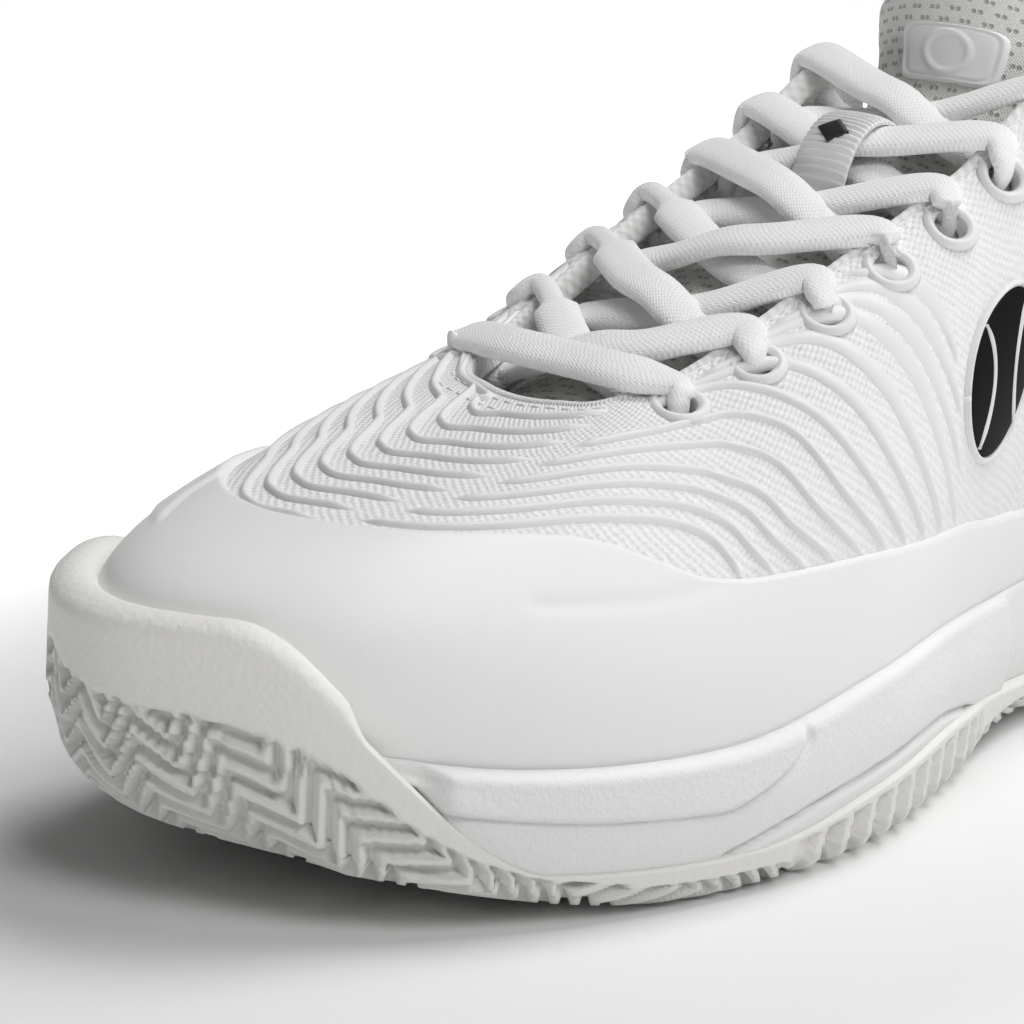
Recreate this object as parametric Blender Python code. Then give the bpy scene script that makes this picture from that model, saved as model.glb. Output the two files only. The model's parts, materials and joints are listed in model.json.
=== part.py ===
"""Court shoe, left foot: moulded sole, knitted upper with its inner layers, tongue and lace.

Metres, +Z up, resting on Z = 0. +X points to the toe and +Y to the outer (lateral) side.
The form is worked out in millimetres by a few functions and every piece is laid on it.
"""

import math

import bmesh
import bpy
import numpy as np
from mathutils import Matrix, Vector

for old in list(bpy.data.objects):
    bpy.data.objects.remove(old, do_unlink=True)

MM = 0.001
GAP = 0.3  # clearance between neighbouring pieces, mm

# ------------------------------------------------------------------ driving sizes, mm
HEEL_STACK, BALL_STACK = 25.0, 20.0     # ground to the foot-side edge of the sole
TOE_SPRING, HEEL_BEVEL = 15.0, 5.0
FEATHER_INSET = 7.0                     # sole outline to the edge where upper meets sole
KNIT, RAND, LINING = 1.4, 0.8, 0.9      # layer thicknesses
RUBBER = 3.4                            # outsole base
BUMPER_HEIGHT = 46.0
EYELETS, EYELET_SPACING, EYELET_DIAMETER = 7, 17.5, 6.8
LACE_RADIUS = 1.8
TONGUE_TOP_RANGE = 45.0                 # degrees, free end pulled forward

# Stations round the shoe, heel back first, then along the outer side to the toe and back.
# sole x, y | lip z | outsole edge z | top edge x, y, z | lower swell out, up | upper swell x, y, z |
# top of the moulded rand as a share of the way up
STATIONS = {
    "heel_back":       (-150, 1, 40, 10, -140, 1, 100, 7, 24, -4, 0, -24, 0.30),
    "heel_lat_corner": (-137, 27, 38, 9, -128, 17, 90, 7, 24, -4, 6, -20, 0.28),
    "heel_lat":        (-104, 39.5, 34, 8, -99, 28, 76, 6, 20, 0, 10, -18, 0.26),
    "ankle_lat":       (-66, 38.5, 31, 8.5, -69, 30, 86, 6, 20, 0, 11, -22, 0.25),
    "waist_lat":       (-28, 40, 28, 9.5, -50, 25, 119, 6, 20, 2, 15, -22, 0.27),
    "midfoot_lat":     (2, 47, 30, 12, -19, 22, 104, 6, 20, 3, 19, -12, 0.30),
    "outrigger":       (36, 54.5, 29.5, 11, 12, 18, 90, 6, 20, 5, 20, -8, 0.33),
    "ball_lat":        (70, 52.5, 24.5, 7, 42, 13, 76, 4, 20, 9, 20, -6, 0.40),
    "toe_lat":         (107, 39, 25.5, 9, 58, 8, 71.5, 4, 25, 26, 18, -5, 0.54),
    "toe_lat_corner":  (136, 16.5, 30.5, 14, 62, 1, 70.5, 8, 28, 46, 12, -11, 0.53),
    "toe_tip":         (150, -12, 34, 16, 63, -7, 70, 9, 28, 50, -2, -13, 0.50),
    "toe_med_corner":  (139, -35, 31.5, 15, 62, -15, 70.5, 8, 28, 46, -15, -12, 0.50),
    "ball_med_front":  (107, -50, 29, 10, 58, -23, 71.5, 5, 26, 26, -18, -6, 0.48),
    "ball_med":        (66, -55, 28, 8, 42, -28, 76, 3, 24, 8, -17, -6, 0.40),
    "arch_front_med":  (24, -46.5, 29, 8, 12, -29, 90, 3, 22, 4, -15, -9, 0.32),
    "waist_med":       (-20, -36, 32, 9.5, -19, -28, 104, 3, 22, 3, -12, -14, 0.28),
    "arch_med":        (-48, -33.5, 34, 9.5, -50, -25, 119, 3, 22, 0, -10, -24, 0.26),
    "ankle_med":       (-74, -34.5, 34, 8.5, -69, -28, 86, 4, 20, 0, -9, -22, 0.25),
    "heel_med":        (-104, -37, 35, 8, -99, -26, 76, 5, 20, 0, -9, -18, 0.26),
    "heel_med_corner": (-137, -23, 38, 9, -128, -15, 90, 6, 24, -4, -5, -20, 0.28),
}
TABLE = np.array(list(STATIONS.values()), float)
COUNT = len(TABLE)


def smooth(x):
    x = np.clip(x, 0, 1)
    return x * x * (3 - 2 * x)


def column(col, u):
    """One column of the stations as a smooth closed curve in u."""
    u = np.asarray(u, float) % COUNT
    i = np.floor(u).astype(int)
    t = u - i
    a, b, c, d = (TABLE[(i + k) % COUNT, col] for k in (-1, 0, 1, 2))
    return 0.5 * (2*b + (c - a)*t + (2*a - 5*b + 4*c - d)*t**2 + (3*b - a - 3*c + d)*t**3)


def outline(u):
    return np.stack([column(0, u), column(1, u)], -1)


def outward(u):
    """Unit normal of the sole outline, pointing out."""
    d = outline(np.asarray(u, float) + 0.02) - outline(np.asarray(u, float) - 0.02)
    n = np.stack([-d[..., 1], d[..., 0]], -1)
    return n / np.linalg.norm(n, axis=-1, keepdims=True)


def rise(x):
    """Height of the underside above the ground along the shoe: toe spring and heel bevel."""
    x = np.asarray(x, float)
    toe = TOE_SPRING * np.clip((x - 70) / 80, 0, None) ** 2
    heel = HEEL_BEVEL * np.clip((-x - 118) / 32, 0, None) ** 2
    waist = 2.5 * np.exp(-((x + 35) / 28) ** 2)
    return toe + heel + waist


def foot_level(x):
    """Height of the edge where the upper meets the sole."""
    x = np.asarray(x, float)
    toe = TOE_SPRING * np.clip((x - 70) / 80, 0, None) ** 2
    return BALL_STACK + (HEEL_STACK - BALL_STACK) * smooth((40 - x) / 150) + toe


def edge_height(u):
    """Top edge of the outsole: a thin band, climbing into the bumper round the toe."""
    u = np.asarray(u, float) % COUNT
    bumper = smooth((u - 7.9) / 1.5) * smooth((12.9 - u) / 1.6)
    return column(3, u) * (1 - bumper) + BUMPER_HEIGHT * bumper


def feather(u):
    p = outline(u) - outward(u) * FEATHER_INSET
    return np.concatenate([p, foot_level(p[..., 0])[..., None]], -1)


def meridians(u, v):
    u, v = np.broadcast_arrays(np.asarray(u, float), np.asarray(v, float))
    foot = feather(u)
    low = foot + np.concatenate([outward(u) * column(7, u)[..., None], column(8, u)[..., None]], -1)
    top = np.stack([column(k, u) for k in (4, 5, 6)], -1)
    high = top + np.stack([column(k, u) for k in (9, 10, 11)], -1)
    v = v[..., None]
    w = 1 - v
    return w**3 * foot + 3*w*w*v * low + 3*w*v*v * high + v**3 * top


def skin(u, v, h=0.0):
    """Point of the upper: u round the shoe, v from sole 0 to top edge 1, h out from the surface."""
    u, v = np.broadcast_arrays(np.asarray(u, float), np.asarray(v, float))
    e = 0.02
    du = meridians(u + e, v) - meridians(u - e, v)
    dv = meridians(u, np.clip(v + e, 0, 1)) - meridians(u, np.clip(v - e, 0, 1))
    n = np.cross(dv, du)
    n /= np.linalg.norm(n, axis=-1, keepdims=True)
    return meridians(u, v) + n * np.asarray(h, float)[..., None]
# ------------------------------------------------------------------ end of the form


def spine(u, along=112.0):
    """Middle line of the sole, where the rings of its flat faces close in."""
    x = np.clip(outline(u)[..., 0], -along, along)
    return np.stack([x, 2 - 9 * smooth((x - 40) / 80)], -1)


def level(xy, height):
    """Points at the given xy, their z read from a height that varies along x."""
    return np.concatenate([xy, height(xy[..., 0])[..., None]], -1)


# ------------------------------------------------------------------ building tools
shoe = bpy.data.collections.new("court_shoe")
cutters = bpy.data.collections.new("cutters")
for group in (shoe, cutters):
    bpy.context.scene.collection.children.link(group)


def finish(name, bm, colour, roughness, group=shoe):
    bmesh.ops.recalc_face_normals(bm, faces=bm.faces[:])
    if bm.calc_volume(signed=True) < 0:
        bmesh.ops.reverse_faces(bm, faces=bm.faces[:])
    mesh = bpy.data.meshes.new(name)
    bm.to_mesh(mesh)
    bm.free()
    mat = bpy.data.materials.new(name)
    mat.use_nodes = True
    mat.node_tree.nodes["Principled BSDF"].inputs["Base Color"].default_value = (*colour, 1)
    mat.node_tree.nodes["Principled BSDF"].inputs["Roughness"].default_value = roughness
    mesh.materials.append(mat)
    obj = bpy.data.objects.new(name, mesh)
    group.objects.link(obj)
    return obj


def grid(bm, rows, cols, closed):
    """A sheet of rows x cols points; each vertex keeps its row and column."""
    bmesh.ops.create_grid(bm, x_segments=cols - 1, y_segments=rows - 1, size=0.5)
    row, col = bm.verts.layers.int.new("row"), bm.verts.layers.int.new("col")
    place = {}
    for v in bm.verts:
        v[row], v[col] = round((v.co.y + 0.5) * (rows - 1)), round((v.co.x + 0.5) * (cols - 1))
        place[v[row], v[col]] = v
    if closed:
        seam = {place[r, cols - 1]: place[r, 0] for r in range(rows)}
        bmesh.ops.weld_verts(bm, targetmap=seam)
    return row, col


def slab(name, inner, outer, colour, roughness=0.6, closed=False):
    """A layer between two like grids of points, inner and outer [row, column, xyz] in mm."""
    bm = bmesh.new()
    row, col = grid(bm, inner.shape[0], inner.shape[1] + closed, closed)
    new = bmesh.ops.extrude_face_region(bm, geom=bm.faces[:])["geom"]
    for v in bm.verts:
        v.co = Vector(inner[v[row], v[col]]) * MM
    for v in new:
        if isinstance(v, bmesh.types.BMVert):
            v.co = Vector(outer[v[row], v[col]]) * MM
    return finish(name, bm, colour, roughness)


def loft(name, rings, colour, roughness=0.6):
    """A body through closed rings [ring, column, xyz], its first and last rings filled."""
    bm = bmesh.new()
    row, col = grid(bm, rings.shape[0], rings.shape[1] + 1, True)
    for v in bm.verts:
        v.co = Vector(rings[v[row], v[col]]) * MM
    ends = [e for e in bm.edges if e.is_boundary]
    caps = bmesh.ops.holes_fill(bm, edges=ends, sides=0)["faces"]
    bmesh.ops.triangulate(bm, faces=caps, quad_method="BEAUTY", ngon_method="BEAUTY")
    return finish(name, bm, colour, roughness)


def cut(obj, cutter):
    mod = obj.modifiers.new("cut", "BOOLEAN")
    mod.operation, mod.solver, mod.object = "DIFFERENCE", "EXACT", cutter


WHITE, OFF_WHITE, WARM = (0.86, 0.86, 0.85), (0.8, 0.8, 0.78), (0.76, 0.75, 0.71)
STEP = 1 / 3
AROUND = np.sort(np.concatenate([np.arange(60), np.arange(23, 28) + 0.5, np.arange(34, 39) + 0.5])) * STEP


# ------------------------------------------------------------------ outsole
# A rubber tray: flat tread base, rolled up into a band at the sides and a bumper at the toe.
def toe_share(u):
    u = np.asarray(u, float) % COUNT
    return smooth((u - 7.4) / 1.4) * smooth((13.3 - u) / 1.6)


def roll(u):
    """Width and height of the rolled edge between the tread and the outsole's side."""
    t = toe_share(u)
    x = outline(u)[..., 0]
    return 5 + 15 * t, 4.5 + t * np.clip(edge_height(u) - rise(x) - 25, 0, None)


def tray(u, thick, rim):
    """Rings of the tray's surface at a depth below its outer face, centre to rim."""
    wide, high = roll(u)
    o, n = outline(u), outward(u)
    rings = []
    start = o - n * wide[..., None]
    for share in (0.12, 0.45, 0.8):
        rings.append(level(spine(u) + (start - spine(u)) * share, lambda x: rise(x) + thick))
    for angle in np.radians((0, 25, 50, 70, 90)):
        p = start + n * ((wide - thick) * np.sin(angle))[..., None]
        z = rise(p[..., 0]) + high - (high - thick) * np.cos(angle)
        rings.append(np.concatenate([p, z[..., None]], -1))
    lean = n * (0.5 * toe_share(u))[..., None]
    rings.append(np.concatenate([rings[-1][..., :2] - lean, rim[..., None]], -1))
    return rings


rim = edge_height(AROUND)
outside = tray(AROUND, 0.0, rim)
inside = tray(AROUND, RUBBER, rim)
loft("outsole", np.array(outside + inside[::-1]), WARM, 0.75)

# ------------------------------------------------------------------ midsole
# Foam cup: fills the tray, swells out above the band and stands up round the upper.
CUP = RAND + 4 * GAP                                     # clearance held for the rand


def height_share(u, z):
    """How far up the upper, v, the surface is at height z."""
    v = np.linspace(0, 0.6, 241)
    heights = skin(np.asarray(u)[:, None], v[None], CUP)[..., 2]
    return np.array([np.interp(want, line, v) for want, line in zip(z, heights)])


def cup(u):
    bed = tray(u, RUBBER + GAP + 0.4 * smooth(toe_share(u) * 3), edge_height(u))
    o, n = outline(u), outward(u)
    foot = feather(u)[..., 2]
    under = smooth((edge_height(u) - foot - 4) / 3)      # wholly behind the bumper
    lip = column(2, u) * (1 - under) + (foot + 1.5) * under
    ledge = edge_height(u) + 4 * GAP
    hidden = smooth((ledge - lip + 11) / 6)              # 1 where the bumper covers the foam
    base = np.minimum(ledge, lip - 3)
    inset = 0.9 + hidden * (RUBBER + GAP + 0.4 - 0.9)
    rings = bed[:-1]
    rings.append(np.concatenate([bed[-2][..., :2], (base - 0.8 * hidden)[..., None]], -1))
    for share, draw in ((0, 0.3), (0.35, 0), (0.75, 0.4), (1, 1.2)):
        p = o - n * (inset + draw * (1 - hidden))[..., None]
        rings.append(np.concatenate([p, (base + (lip - base) * share)[..., None]], -1))
    v = height_share(u, lip)
    for share in (1, 0.67, 0.33, 0):
        rings.append(skin(u, v * share, CUP))
    last = rings[-1].copy()
    last[..., 2] = foot_level(last[..., 0]) - GAP
    rings[-1] = last
    for share in (0.85, 0.45, 0.12):
        flat = spine(u, 108) + (last[..., :2] - spine(u, 108)) * share
        rings.append(level(flat, lambda x: foot_level(x) - GAP))
    return np.array(rings)


midsole = loft("midsole", cup(AROUND), WHITE, 0.65)


# ------------------------------------------------------------------ upper and its layers
def layer(name, u, v_low, v_high, rows, inner, outer, colour, roughness=0.7, closed=False):
    """A layer of the upper between two offsets, each a number or a function of u and v."""
    share = np.linspace(0, 1, rows)[:, None]
    low = np.broadcast_to(v_low, u.shape)[None]
    v = low + (np.broadcast_to(v_high, u.shape)[None] - low) * share
    uu = np.broadcast_to(u[None], v.shape)
    deep = inner(uu, v) if callable(inner) else inner
    near = outer(uu, v) if callable(outer) else outer
    return slab(name, skin(uu, v, deep), skin(uu, v, near), colour, roughness, closed)


INNER = -(KNIT + GAP)                                    # where the layers under the knit start
knit = layer("upper_knit", AROUND, 0.0, 1.0, 11, -KNIT, 0.0, WHITE, 0.9, closed=True)
layer("rand", AROUND, 0.02, column(12, AROUND), 6, GAP, GAP + RAND, WHITE, 0.45, closed=True)
layer("toe_puff", np.arange(25, 36) * STEP, 0.05, 0.5, 6, INNER - 1.1, INNER - 0.1, OFF_WHITE)
layer("heel_counter", np.arange(-8, 9) * STEP, 0.05, 0.55, 7, INNER - 1.2, INNER - 0.1, OFF_WHITE)
back = np.arange(-5, 6) * STEP
layer("heel_overlay", back, column(12, back) + 0.02, 0.8, 6, GAP, GAP + 0.9, WHITE, 0.5)
layer("heel_tab", np.linspace(-0.45, 0.45, 6), 0.83, 1.0, 4, GAP + 0.1, 2.3, OFF_WHITE)


def padding(u, v):
    """Inner face of the collar padding: swollen below the top edge."""
    ends = smooth((3.9 - np.abs(u)) / 0.9)
    return INNER - 1.7 - 6.5 * ends * np.exp(-((v - 0.84) / 0.16) ** 2)


collar = np.arange(-11, 12) * STEP
layer("collar_foam", collar, 0.58, 0.985, 8, lambda u, v: padding(u, v) + 0.7, INNER - 0.1,
      WARM, 0.9)
layer("collar_lining", collar, 0.05, 0.985, 11, lambda u, v: padding(u, v) - LINING, padding,
      OFF_WHITE, 0.95)
fore = np.arange(12, 49) * STEP
lining = layer("vamp_lining", fore, 0.05, 0.985, 9, INNER - 1.7 - LINING, INNER - 1.7,
               OFF_WHITE, 0.95)

# ------------------------------------------------------------------ eyelets
turn = np.radians(22.8 + 1.9 * np.arange(EYELETS - 1))
EYELET_X = 51.0 - np.concatenate([[0], np.cumsum(EYELET_SPACING * np.cos(turn))])


def inset_share(u, inset):
    """v of the point that many mm from the top edge, measured along the surface."""
    v = np.linspace(0.5, 1, 201)
    out = []
    for one in np.atleast_1d(u):
        p = skin(np.full_like(v, one), v)
        run = np.concatenate([[0], np.cumsum(np.linalg.norm(np.diff(p, axis=0), axis=1))])
        out.append(np.interp(run[-1] - inset, run, v))
    return np.array(out)


def eyelet_row(side):
    """u and v of each eyelet, front first; side is +1 lateral or -1 medial."""
    u = np.linspace(7.9, 3.9, 81) if side > 0 else np.linspace(12.1, 16.1, 81)
    v = inset_share(u, 7.5)
    x = skin(u, v)[:, 0]
    at = np.interp(-EYELET_X, -x, u)
    return at, np.interp(-EYELET_X, -x, v)


ROWS = {side: eyelet_row(side) for side in (1, -1)}


def strip(side):
    at, _ = ROWS[side]
    u = np.linspace(at[0] + 0.45 * side, at[-1] - 0.12 * side, 17)
    u = u[::-1] if side > 0 else u
    return u, inset_share(u, 15.0), inset_share(u, 2.0)


stays = []
for side, name in ((1, "eyestay_lateral"), (-1, "eyestay_medial")):
    u, low, high = strip(side)
    stays.append(layer(name, u, low, high, 4, INNER - 1.2, INNER - 0.45, OFF_WHITE, 0.5))

drill = bmesh.new()
for side in (1, -1):
    for u, v in zip(*ROWS[side]):
        p, q = skin(u, v, -9.0), skin(u, v, 5.0)
        axis = Vector(q - p).normalized()
        made = bmesh.ops.create_cone(drill, cap_ends=True, segments=12, depth=14 * MM,
                                     radius1=EYELET_DIAMETER / 2 * MM, radius2=EYELET_DIAMETER / 2 * MM)
        turned = axis.to_track_quat("Z", "Y").to_matrix().to_4x4()
        turned.translation = Vector(p + q) / 2 * MM
        bmesh.ops.transform(drill, matrix=turned, verts=made["verts"])
drill = finish("eyelet_drill", drill, WARM, 0.5, cutters)
drill.hide_render, drill.display_type = True, "WIRE"
for obj in (knit, lining, *stays):
    cut(obj, drill)

# ------------------------------------------------------------------ boards under the foot
def board(name, u, edge, low, high, colour, along):
    """A flat body filling a closed edge, its faces at two heights above the foot level."""
    rings = []
    for lift in (low, high):
        faces = [level(spine(u, along) + (edge - spine(u, along)) * share,
                       lambda x: foot_level(x) + lift) for share in (0.12, 0.6, 1)]
        rings += faces if lift == low else faces[::-1]
    return loft(name, np.array(rings), colour, 0.9)


board("strobel_board", AROUND, skin(AROUND, 0.0, -KNIT - 0.6)[..., :2], 0.0, 1.2, WARM, 106.0)
board("sockliner", AROUND, skin(AROUND, 0.06, INNER - 1.7 - LINING - 0.8)[..., :2], 1.6, 5.6,
      OFF_WHITE, 100.0)

SHANK_X = np.linspace(-88, 8, 9)
SHANK_HALF = np.array([13, 17, 16, 15, 15, 16, 18, 20, 17])


def plate(x, half, height):
    y = np.linspace(-1, 1, 5)
    xx, yy = np.broadcast_arrays(x[:, None], 2 + half[:, None] * y)
    return level(np.stack([xx, yy], -1), lambda q: rise(q) + height)


slab("midfoot_shank", plate(SHANK_X, SHANK_HALF, 3.9), plate(SHANK_X, SHANK_HALF, 5.4),
     (0.12, 0.12, 0.13), 0.35)
pocket_x = np.concatenate([[SHANK_X[0] - 0.4], SHANK_X[1:-1], [SHANK_X[-1] + 0.4]])
pocket = bpy.data.objects[slab("shank_pocket", plate(pocket_x, SHANK_HALF + 0.4, 2.5),
                               plate(pocket_x, SHANK_HALF + 0.4, 5.8), WARM).name]
shoe.objects.unlink(pocket)
cutters.objects.link(pocket)
pocket.hide_render, pocket.display_type = True, "WIRE"
cut(midsole, pocket)

# ------------------------------------------------------------------ tongue
# middle line of its face x, z, then half width and how fast it falls away to the sides
TONGUE = np.array([
    (84, 57.5, 20, 12), (72, 62.0, 26, 12), (60, 65.0, 28.5, 12), (45, 69.1, 29.5, 12),
    (28, 77.2, 29, 12.5), (10, 86.0, 27.5, 12.5), (-10, 96.0, 25.5, 13), (-28, 104.2, 23, 14),
    (-42, 111.5, 20.6, 15), (-47, 118, 21.6, 16), (-50, 125, 24, 17), (-52.5, 131, 24.5, 17),
    (-54.5, 134.8, 21, 17), (-55.5, 137, 12.5, 17)], float)
TONGUE_CUT = 8.6                                         # row where the free end begins
TONGUE_THICK = 5.5


def tongue(s, t, h=0.0):
    """Face of the tongue: s along it in rows of the table, t across -1 to 1, h out."""
    s, t = np.broadcast_arrays(np.asarray(s, float), np.asarray(t, float))
    rows = np.arange(len(TONGUE))

    def value(k, q):
        i = np.clip(np.floor(q).astype(int), 0, len(TONGUE) - 2)
        f = q - i
        a, b, c, d = (TONGUE[np.clip(i + m, 0, len(TONGUE) - 1), k] for m in (-1, 0, 1, 2))
        return 0.5 * (2*b + (c - a)*f + (2*a - 5*b + 4*c - d)*f**2 + (3*b - a - 3*c + d)*f**3)

    x, z = value(0, s), value(1, s)
    e = 0.05
    lo, hi = np.clip(s - e, 0, rows[-1]), np.clip(s + e, 0, rows[-1])
    dx, dz = value(0, hi) - value(0, lo), value(1, hi) - value(1, lo)
    size = np.hypot(dx, dz)
    nx, nz = dz / size, -dx / size
    half = value(2, s)
    fall = value(3, s) * 0.001 * (t * half) ** 2
    lean = fall - h
    middle = -6 + 6.6 * smooth((60 - x) / 110) - 3.5 * smooth((s - 8.6) / 3)
    return np.stack([x - nx * lean, middle + t * half, z - nz * lean], -1)


def tongue_layer(name, s, low, high, colour, share=1.0, roughness=0.95, cols=9):
    """A layer of the tongue between two depths; low may thin out toward the edges."""
    t = np.linspace(-share, share, cols)[None]
    ss = s[:, None]
    thin = 1 - 0.55 * np.abs(t) ** 3
    deep = low * thin if low < -1 else low + 0 * t
    near = high * thin if high < -1 else high + 0 * t
    return slab(name, tongue(ss, t, deep), tongue(ss, t, near), colour, roughness)


LOW_ROWS = np.concatenate([np.arange(0, 8.1, 0.8), [TONGUE_CUT - 0.03]])
HIGH_ROWS = np.concatenate([[TONGUE_CUT + 0.03], np.arange(9.2, 13.1, 0.54)])
tongue_layer("tongue_body", LOW_ROWS, -TONGUE_THICK, 0, OFF_WHITE)
tongue_layer("tongue_lining", LOW_ROWS, -TONGUE_THICK - 1.3, -TONGUE_THICK - 0.5, OFF_WHITE)
tongue_layer("tongue_top", HIGH_ROWS, -TONGUE_THICK, 0, OFF_WHITE)
tongue_layer("tongue_top_lining", HIGH_ROWS, -TONGUE_THICK - 1.3, -TONGUE_THICK - 0.5, OFF_WHITE)
tongue_layer("tongue_label", np.linspace(8.8, 10.3, 5), 0.5, 1.2, WHITE, 0.62, 0.5, 9)

# The free end folds about a line across the tongue's face at the cut.
fold = bpy.data.objects.new("tongue_fold", None)
fold.location = Vector((tongue(TONGUE_CUT, 0.0) * (1, 0, 1)).tolist()) * MM
fold.empty_display_size = 0.01
shoe.objects.link(fold)
for name in ("tongue_top", "tongue_top_lining", "tongue_label"):
    bpy.data.objects[name].parent = fold
    bpy.data.objects[name].matrix_parent_inverse = Matrix.Translation(-fold.location)

# ------------------------------------------------------------------ lace
# One cord: a straight bar over the first pair of eyelets, then each end goes down through
# its eyelet, up from under the edge and over to the next eyelet on the other side.
def at_eyelet(side, k, inward, h):
    """Point near an eyelet: inward mm toward the throat and h mm out from the knit."""
    u, v = ROWS[side][0][k], ROWS[side][1][k]
    p, edge = skin(u, v), skin(u, 1.0)
    n = skin(u, v, 1.0) - p
    way = edge - p
    way = way / np.linalg.norm(way)
    return p + way * inward + n * h


def over_throat(x, across, h):
    """Point above the tongue's middle line: h mm out from its face."""
    s = np.interp(-x, -TONGUE[:, 0], np.arange(len(TONGUE)))
    p = tongue(s, 0.0, h)
    return p + np.array([0, across, 0])


def down_the_eyelet(side, k):
    return [at_eyelet(side, k, 3.0, 2.8), at_eyelet(side, k, 0.9, 1.5), at_eyelet(side, k, 0, -1.0),
            at_eyelet(side, k, 0, -3.4), at_eyelet(side, k, 0.9, -5.8), at_eyelet(side, k, 3.2, -7.0)]


def strand(side):
    """From under the first eyelet of one side to the tucked end, as control points."""
    points = []
    for k in range(EYELETS - 1):
        x = (EYELET_X[k] + EYELET_X[k + 1]) / 2
        below = (side > 0) == (k % 2 == 0)
        points.append(at_eyelet(side, k, 8.0, -6.3))
        points.append(over_throat(x + 3, side * 9, 2.4 if below else 3.4))
        points.append(over_throat(x, 0, 2.2 if below else 6.4))
        points.append(over_throat(x - 3, -side * 9, 3.4 if below else 6.4))
        side = -side
        points.append(at_eyelet(side, k + 1, 9.0, 3.2))
        points += down_the_eyelet(side, k + 1)
    points.pop()
    points += [np.array(p, float) * (1, side, 1) + (0, 1.1, 0) for p in TAIL]
    return points


TAIL = [(-47, 23.6, 103), (-45, 24, 90), (-36, 24.4, 70), (-24, 24.6, 50), (-10, 25, 37),
        (8, 25, 31.0), (26, 25, 29.0), (42, 24, 28.5)]
bar = [over_throat(51, side * 12, 8.8) for side in (1, 0, -1)]
left = down_the_eyelet(1, 0) + strand(1)
right = down_the_eyelet(-1, 0) + strand(-1)
route = np.array(left[::-1] + bar + right)


def through(points, per):
    """A smooth curve through control points."""
    n = len(points)
    out = []
    for i in range(n - 1):
        a, b, c, d = (points[min(max(i + m, 0), n - 1)] for m in (-1, 0, 1, 2))
        for f in np.arange(per) / per:
            out.append(0.5 * (2*b + (c - a)*f + (2*a - 5*b + 4*c - d)*f**2
                              + (3*b - a - 3*c + d)*f**3))
    return np.array(out + [points[-1]])


def cord(name, line, radius, colour, sides=1):
    data = bpy.data.curves.new(name, "CURVE")
    data.dimensions = "3D"
    data.bevel_depth, data.bevel_resolution = radius * MM, sides
    data.use_fill_caps = True
    spline = data.splines.new("POLY")
    spline.points.add(len(line) - 1)
    for point, co in zip(spline.points, line):
        point.co = (*(co * MM), 1)
    mat = bpy.data.materials.new(name)
    mat.use_nodes = True
    mat.node_tree.nodes["Principled BSDF"].inputs["Base Color"].default_value = (*colour, 1)
    data.materials.append(mat)
    obj = bpy.data.objects.new(name, data)
    shoe.objects.link(obj)
    return obj


LACE = through(route, 2)
cord("lace", LACE, LACE_RADIUS, WHITE)

for name, end, before in (("aglet_lateral", LACE[0], LACE[2]), ("aglet_medial", LACE[-1], LACE[-3])):
    way = (end - before) / np.linalg.norm(end - before)
    cord(name, np.array([end + way * 0.4, end + way * 20]), 1.6, (0.8, 0.8, 0.8))

# ------------------------------------------------------------------ lace keeper and badge
# The keeper is a webbing bridge on the tongue; the lace crosses under it.
KEEPER_ROWS = np.linspace(6.05, 7.15, 9)
arch = 0.5 + 10.5 * np.clip(np.sin(np.linspace(0, math.pi, 9)), 0, 1)[:, None] ** 0.6
wide = np.linspace(-0.22, 0.22, 3)[None]
slab("lace_keeper", tongue(KEEPER_ROWS[:, None], wide, arch),
     tongue(KEEPER_ROWS[:, None], wide, arch + 1.0), WHITE, 0.8)

BADGE_AT, BADGE_SIZE = (4.84, 0.555), (0.36, 0.135)       # centre and half size, in u and v
g = np.linspace(-1, 1, 9)
bx, by = np.meshgrid(g, g)
bx, by = bx * np.sqrt(1 - by * by / 2), by * np.sqrt(1 - bx * bx / 2)
bu, bv = BADGE_AT[0] + BADGE_SIZE[0] * bx, BADGE_AT[1] + BADGE_SIZE[1] * by
slab("side_badge", skin(bu, bv, GAP), skin(bu, bv, GAP + 0.6), (0.01, 0.01, 0.01), 0.4)
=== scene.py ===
"""Looks of a white left court shoe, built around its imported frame.

Sizes are in millimetres while a piece is shaped and become metres when its mesh is made.
+X points to the toe, +Y to the outer side of the foot, +Z up.
"""

import json
import math

import bmesh
import bpy
import numpy as np
from mathutils import Matrix, Vector
from mathutils.kdtree import KDTree

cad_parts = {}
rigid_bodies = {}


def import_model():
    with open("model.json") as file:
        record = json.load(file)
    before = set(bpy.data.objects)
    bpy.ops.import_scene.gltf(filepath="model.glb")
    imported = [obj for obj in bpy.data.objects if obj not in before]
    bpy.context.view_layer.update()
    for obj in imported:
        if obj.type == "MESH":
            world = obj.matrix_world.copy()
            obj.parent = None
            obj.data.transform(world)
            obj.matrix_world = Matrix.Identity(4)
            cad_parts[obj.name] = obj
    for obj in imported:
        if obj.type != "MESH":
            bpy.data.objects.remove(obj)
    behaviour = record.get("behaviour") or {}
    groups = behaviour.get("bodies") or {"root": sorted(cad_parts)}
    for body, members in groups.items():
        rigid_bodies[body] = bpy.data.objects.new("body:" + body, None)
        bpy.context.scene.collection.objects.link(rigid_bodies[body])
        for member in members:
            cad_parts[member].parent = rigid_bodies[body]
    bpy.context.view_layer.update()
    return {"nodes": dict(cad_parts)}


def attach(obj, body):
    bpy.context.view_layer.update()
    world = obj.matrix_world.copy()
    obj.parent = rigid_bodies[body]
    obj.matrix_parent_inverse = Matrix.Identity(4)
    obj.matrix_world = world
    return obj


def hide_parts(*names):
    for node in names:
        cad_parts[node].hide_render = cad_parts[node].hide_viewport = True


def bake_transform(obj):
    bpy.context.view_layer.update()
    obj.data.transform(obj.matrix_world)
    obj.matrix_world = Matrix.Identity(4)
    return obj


for startup in list(bpy.data.objects):
    bpy.data.objects.remove(startup, do_unlink=True)
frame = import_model()

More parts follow.
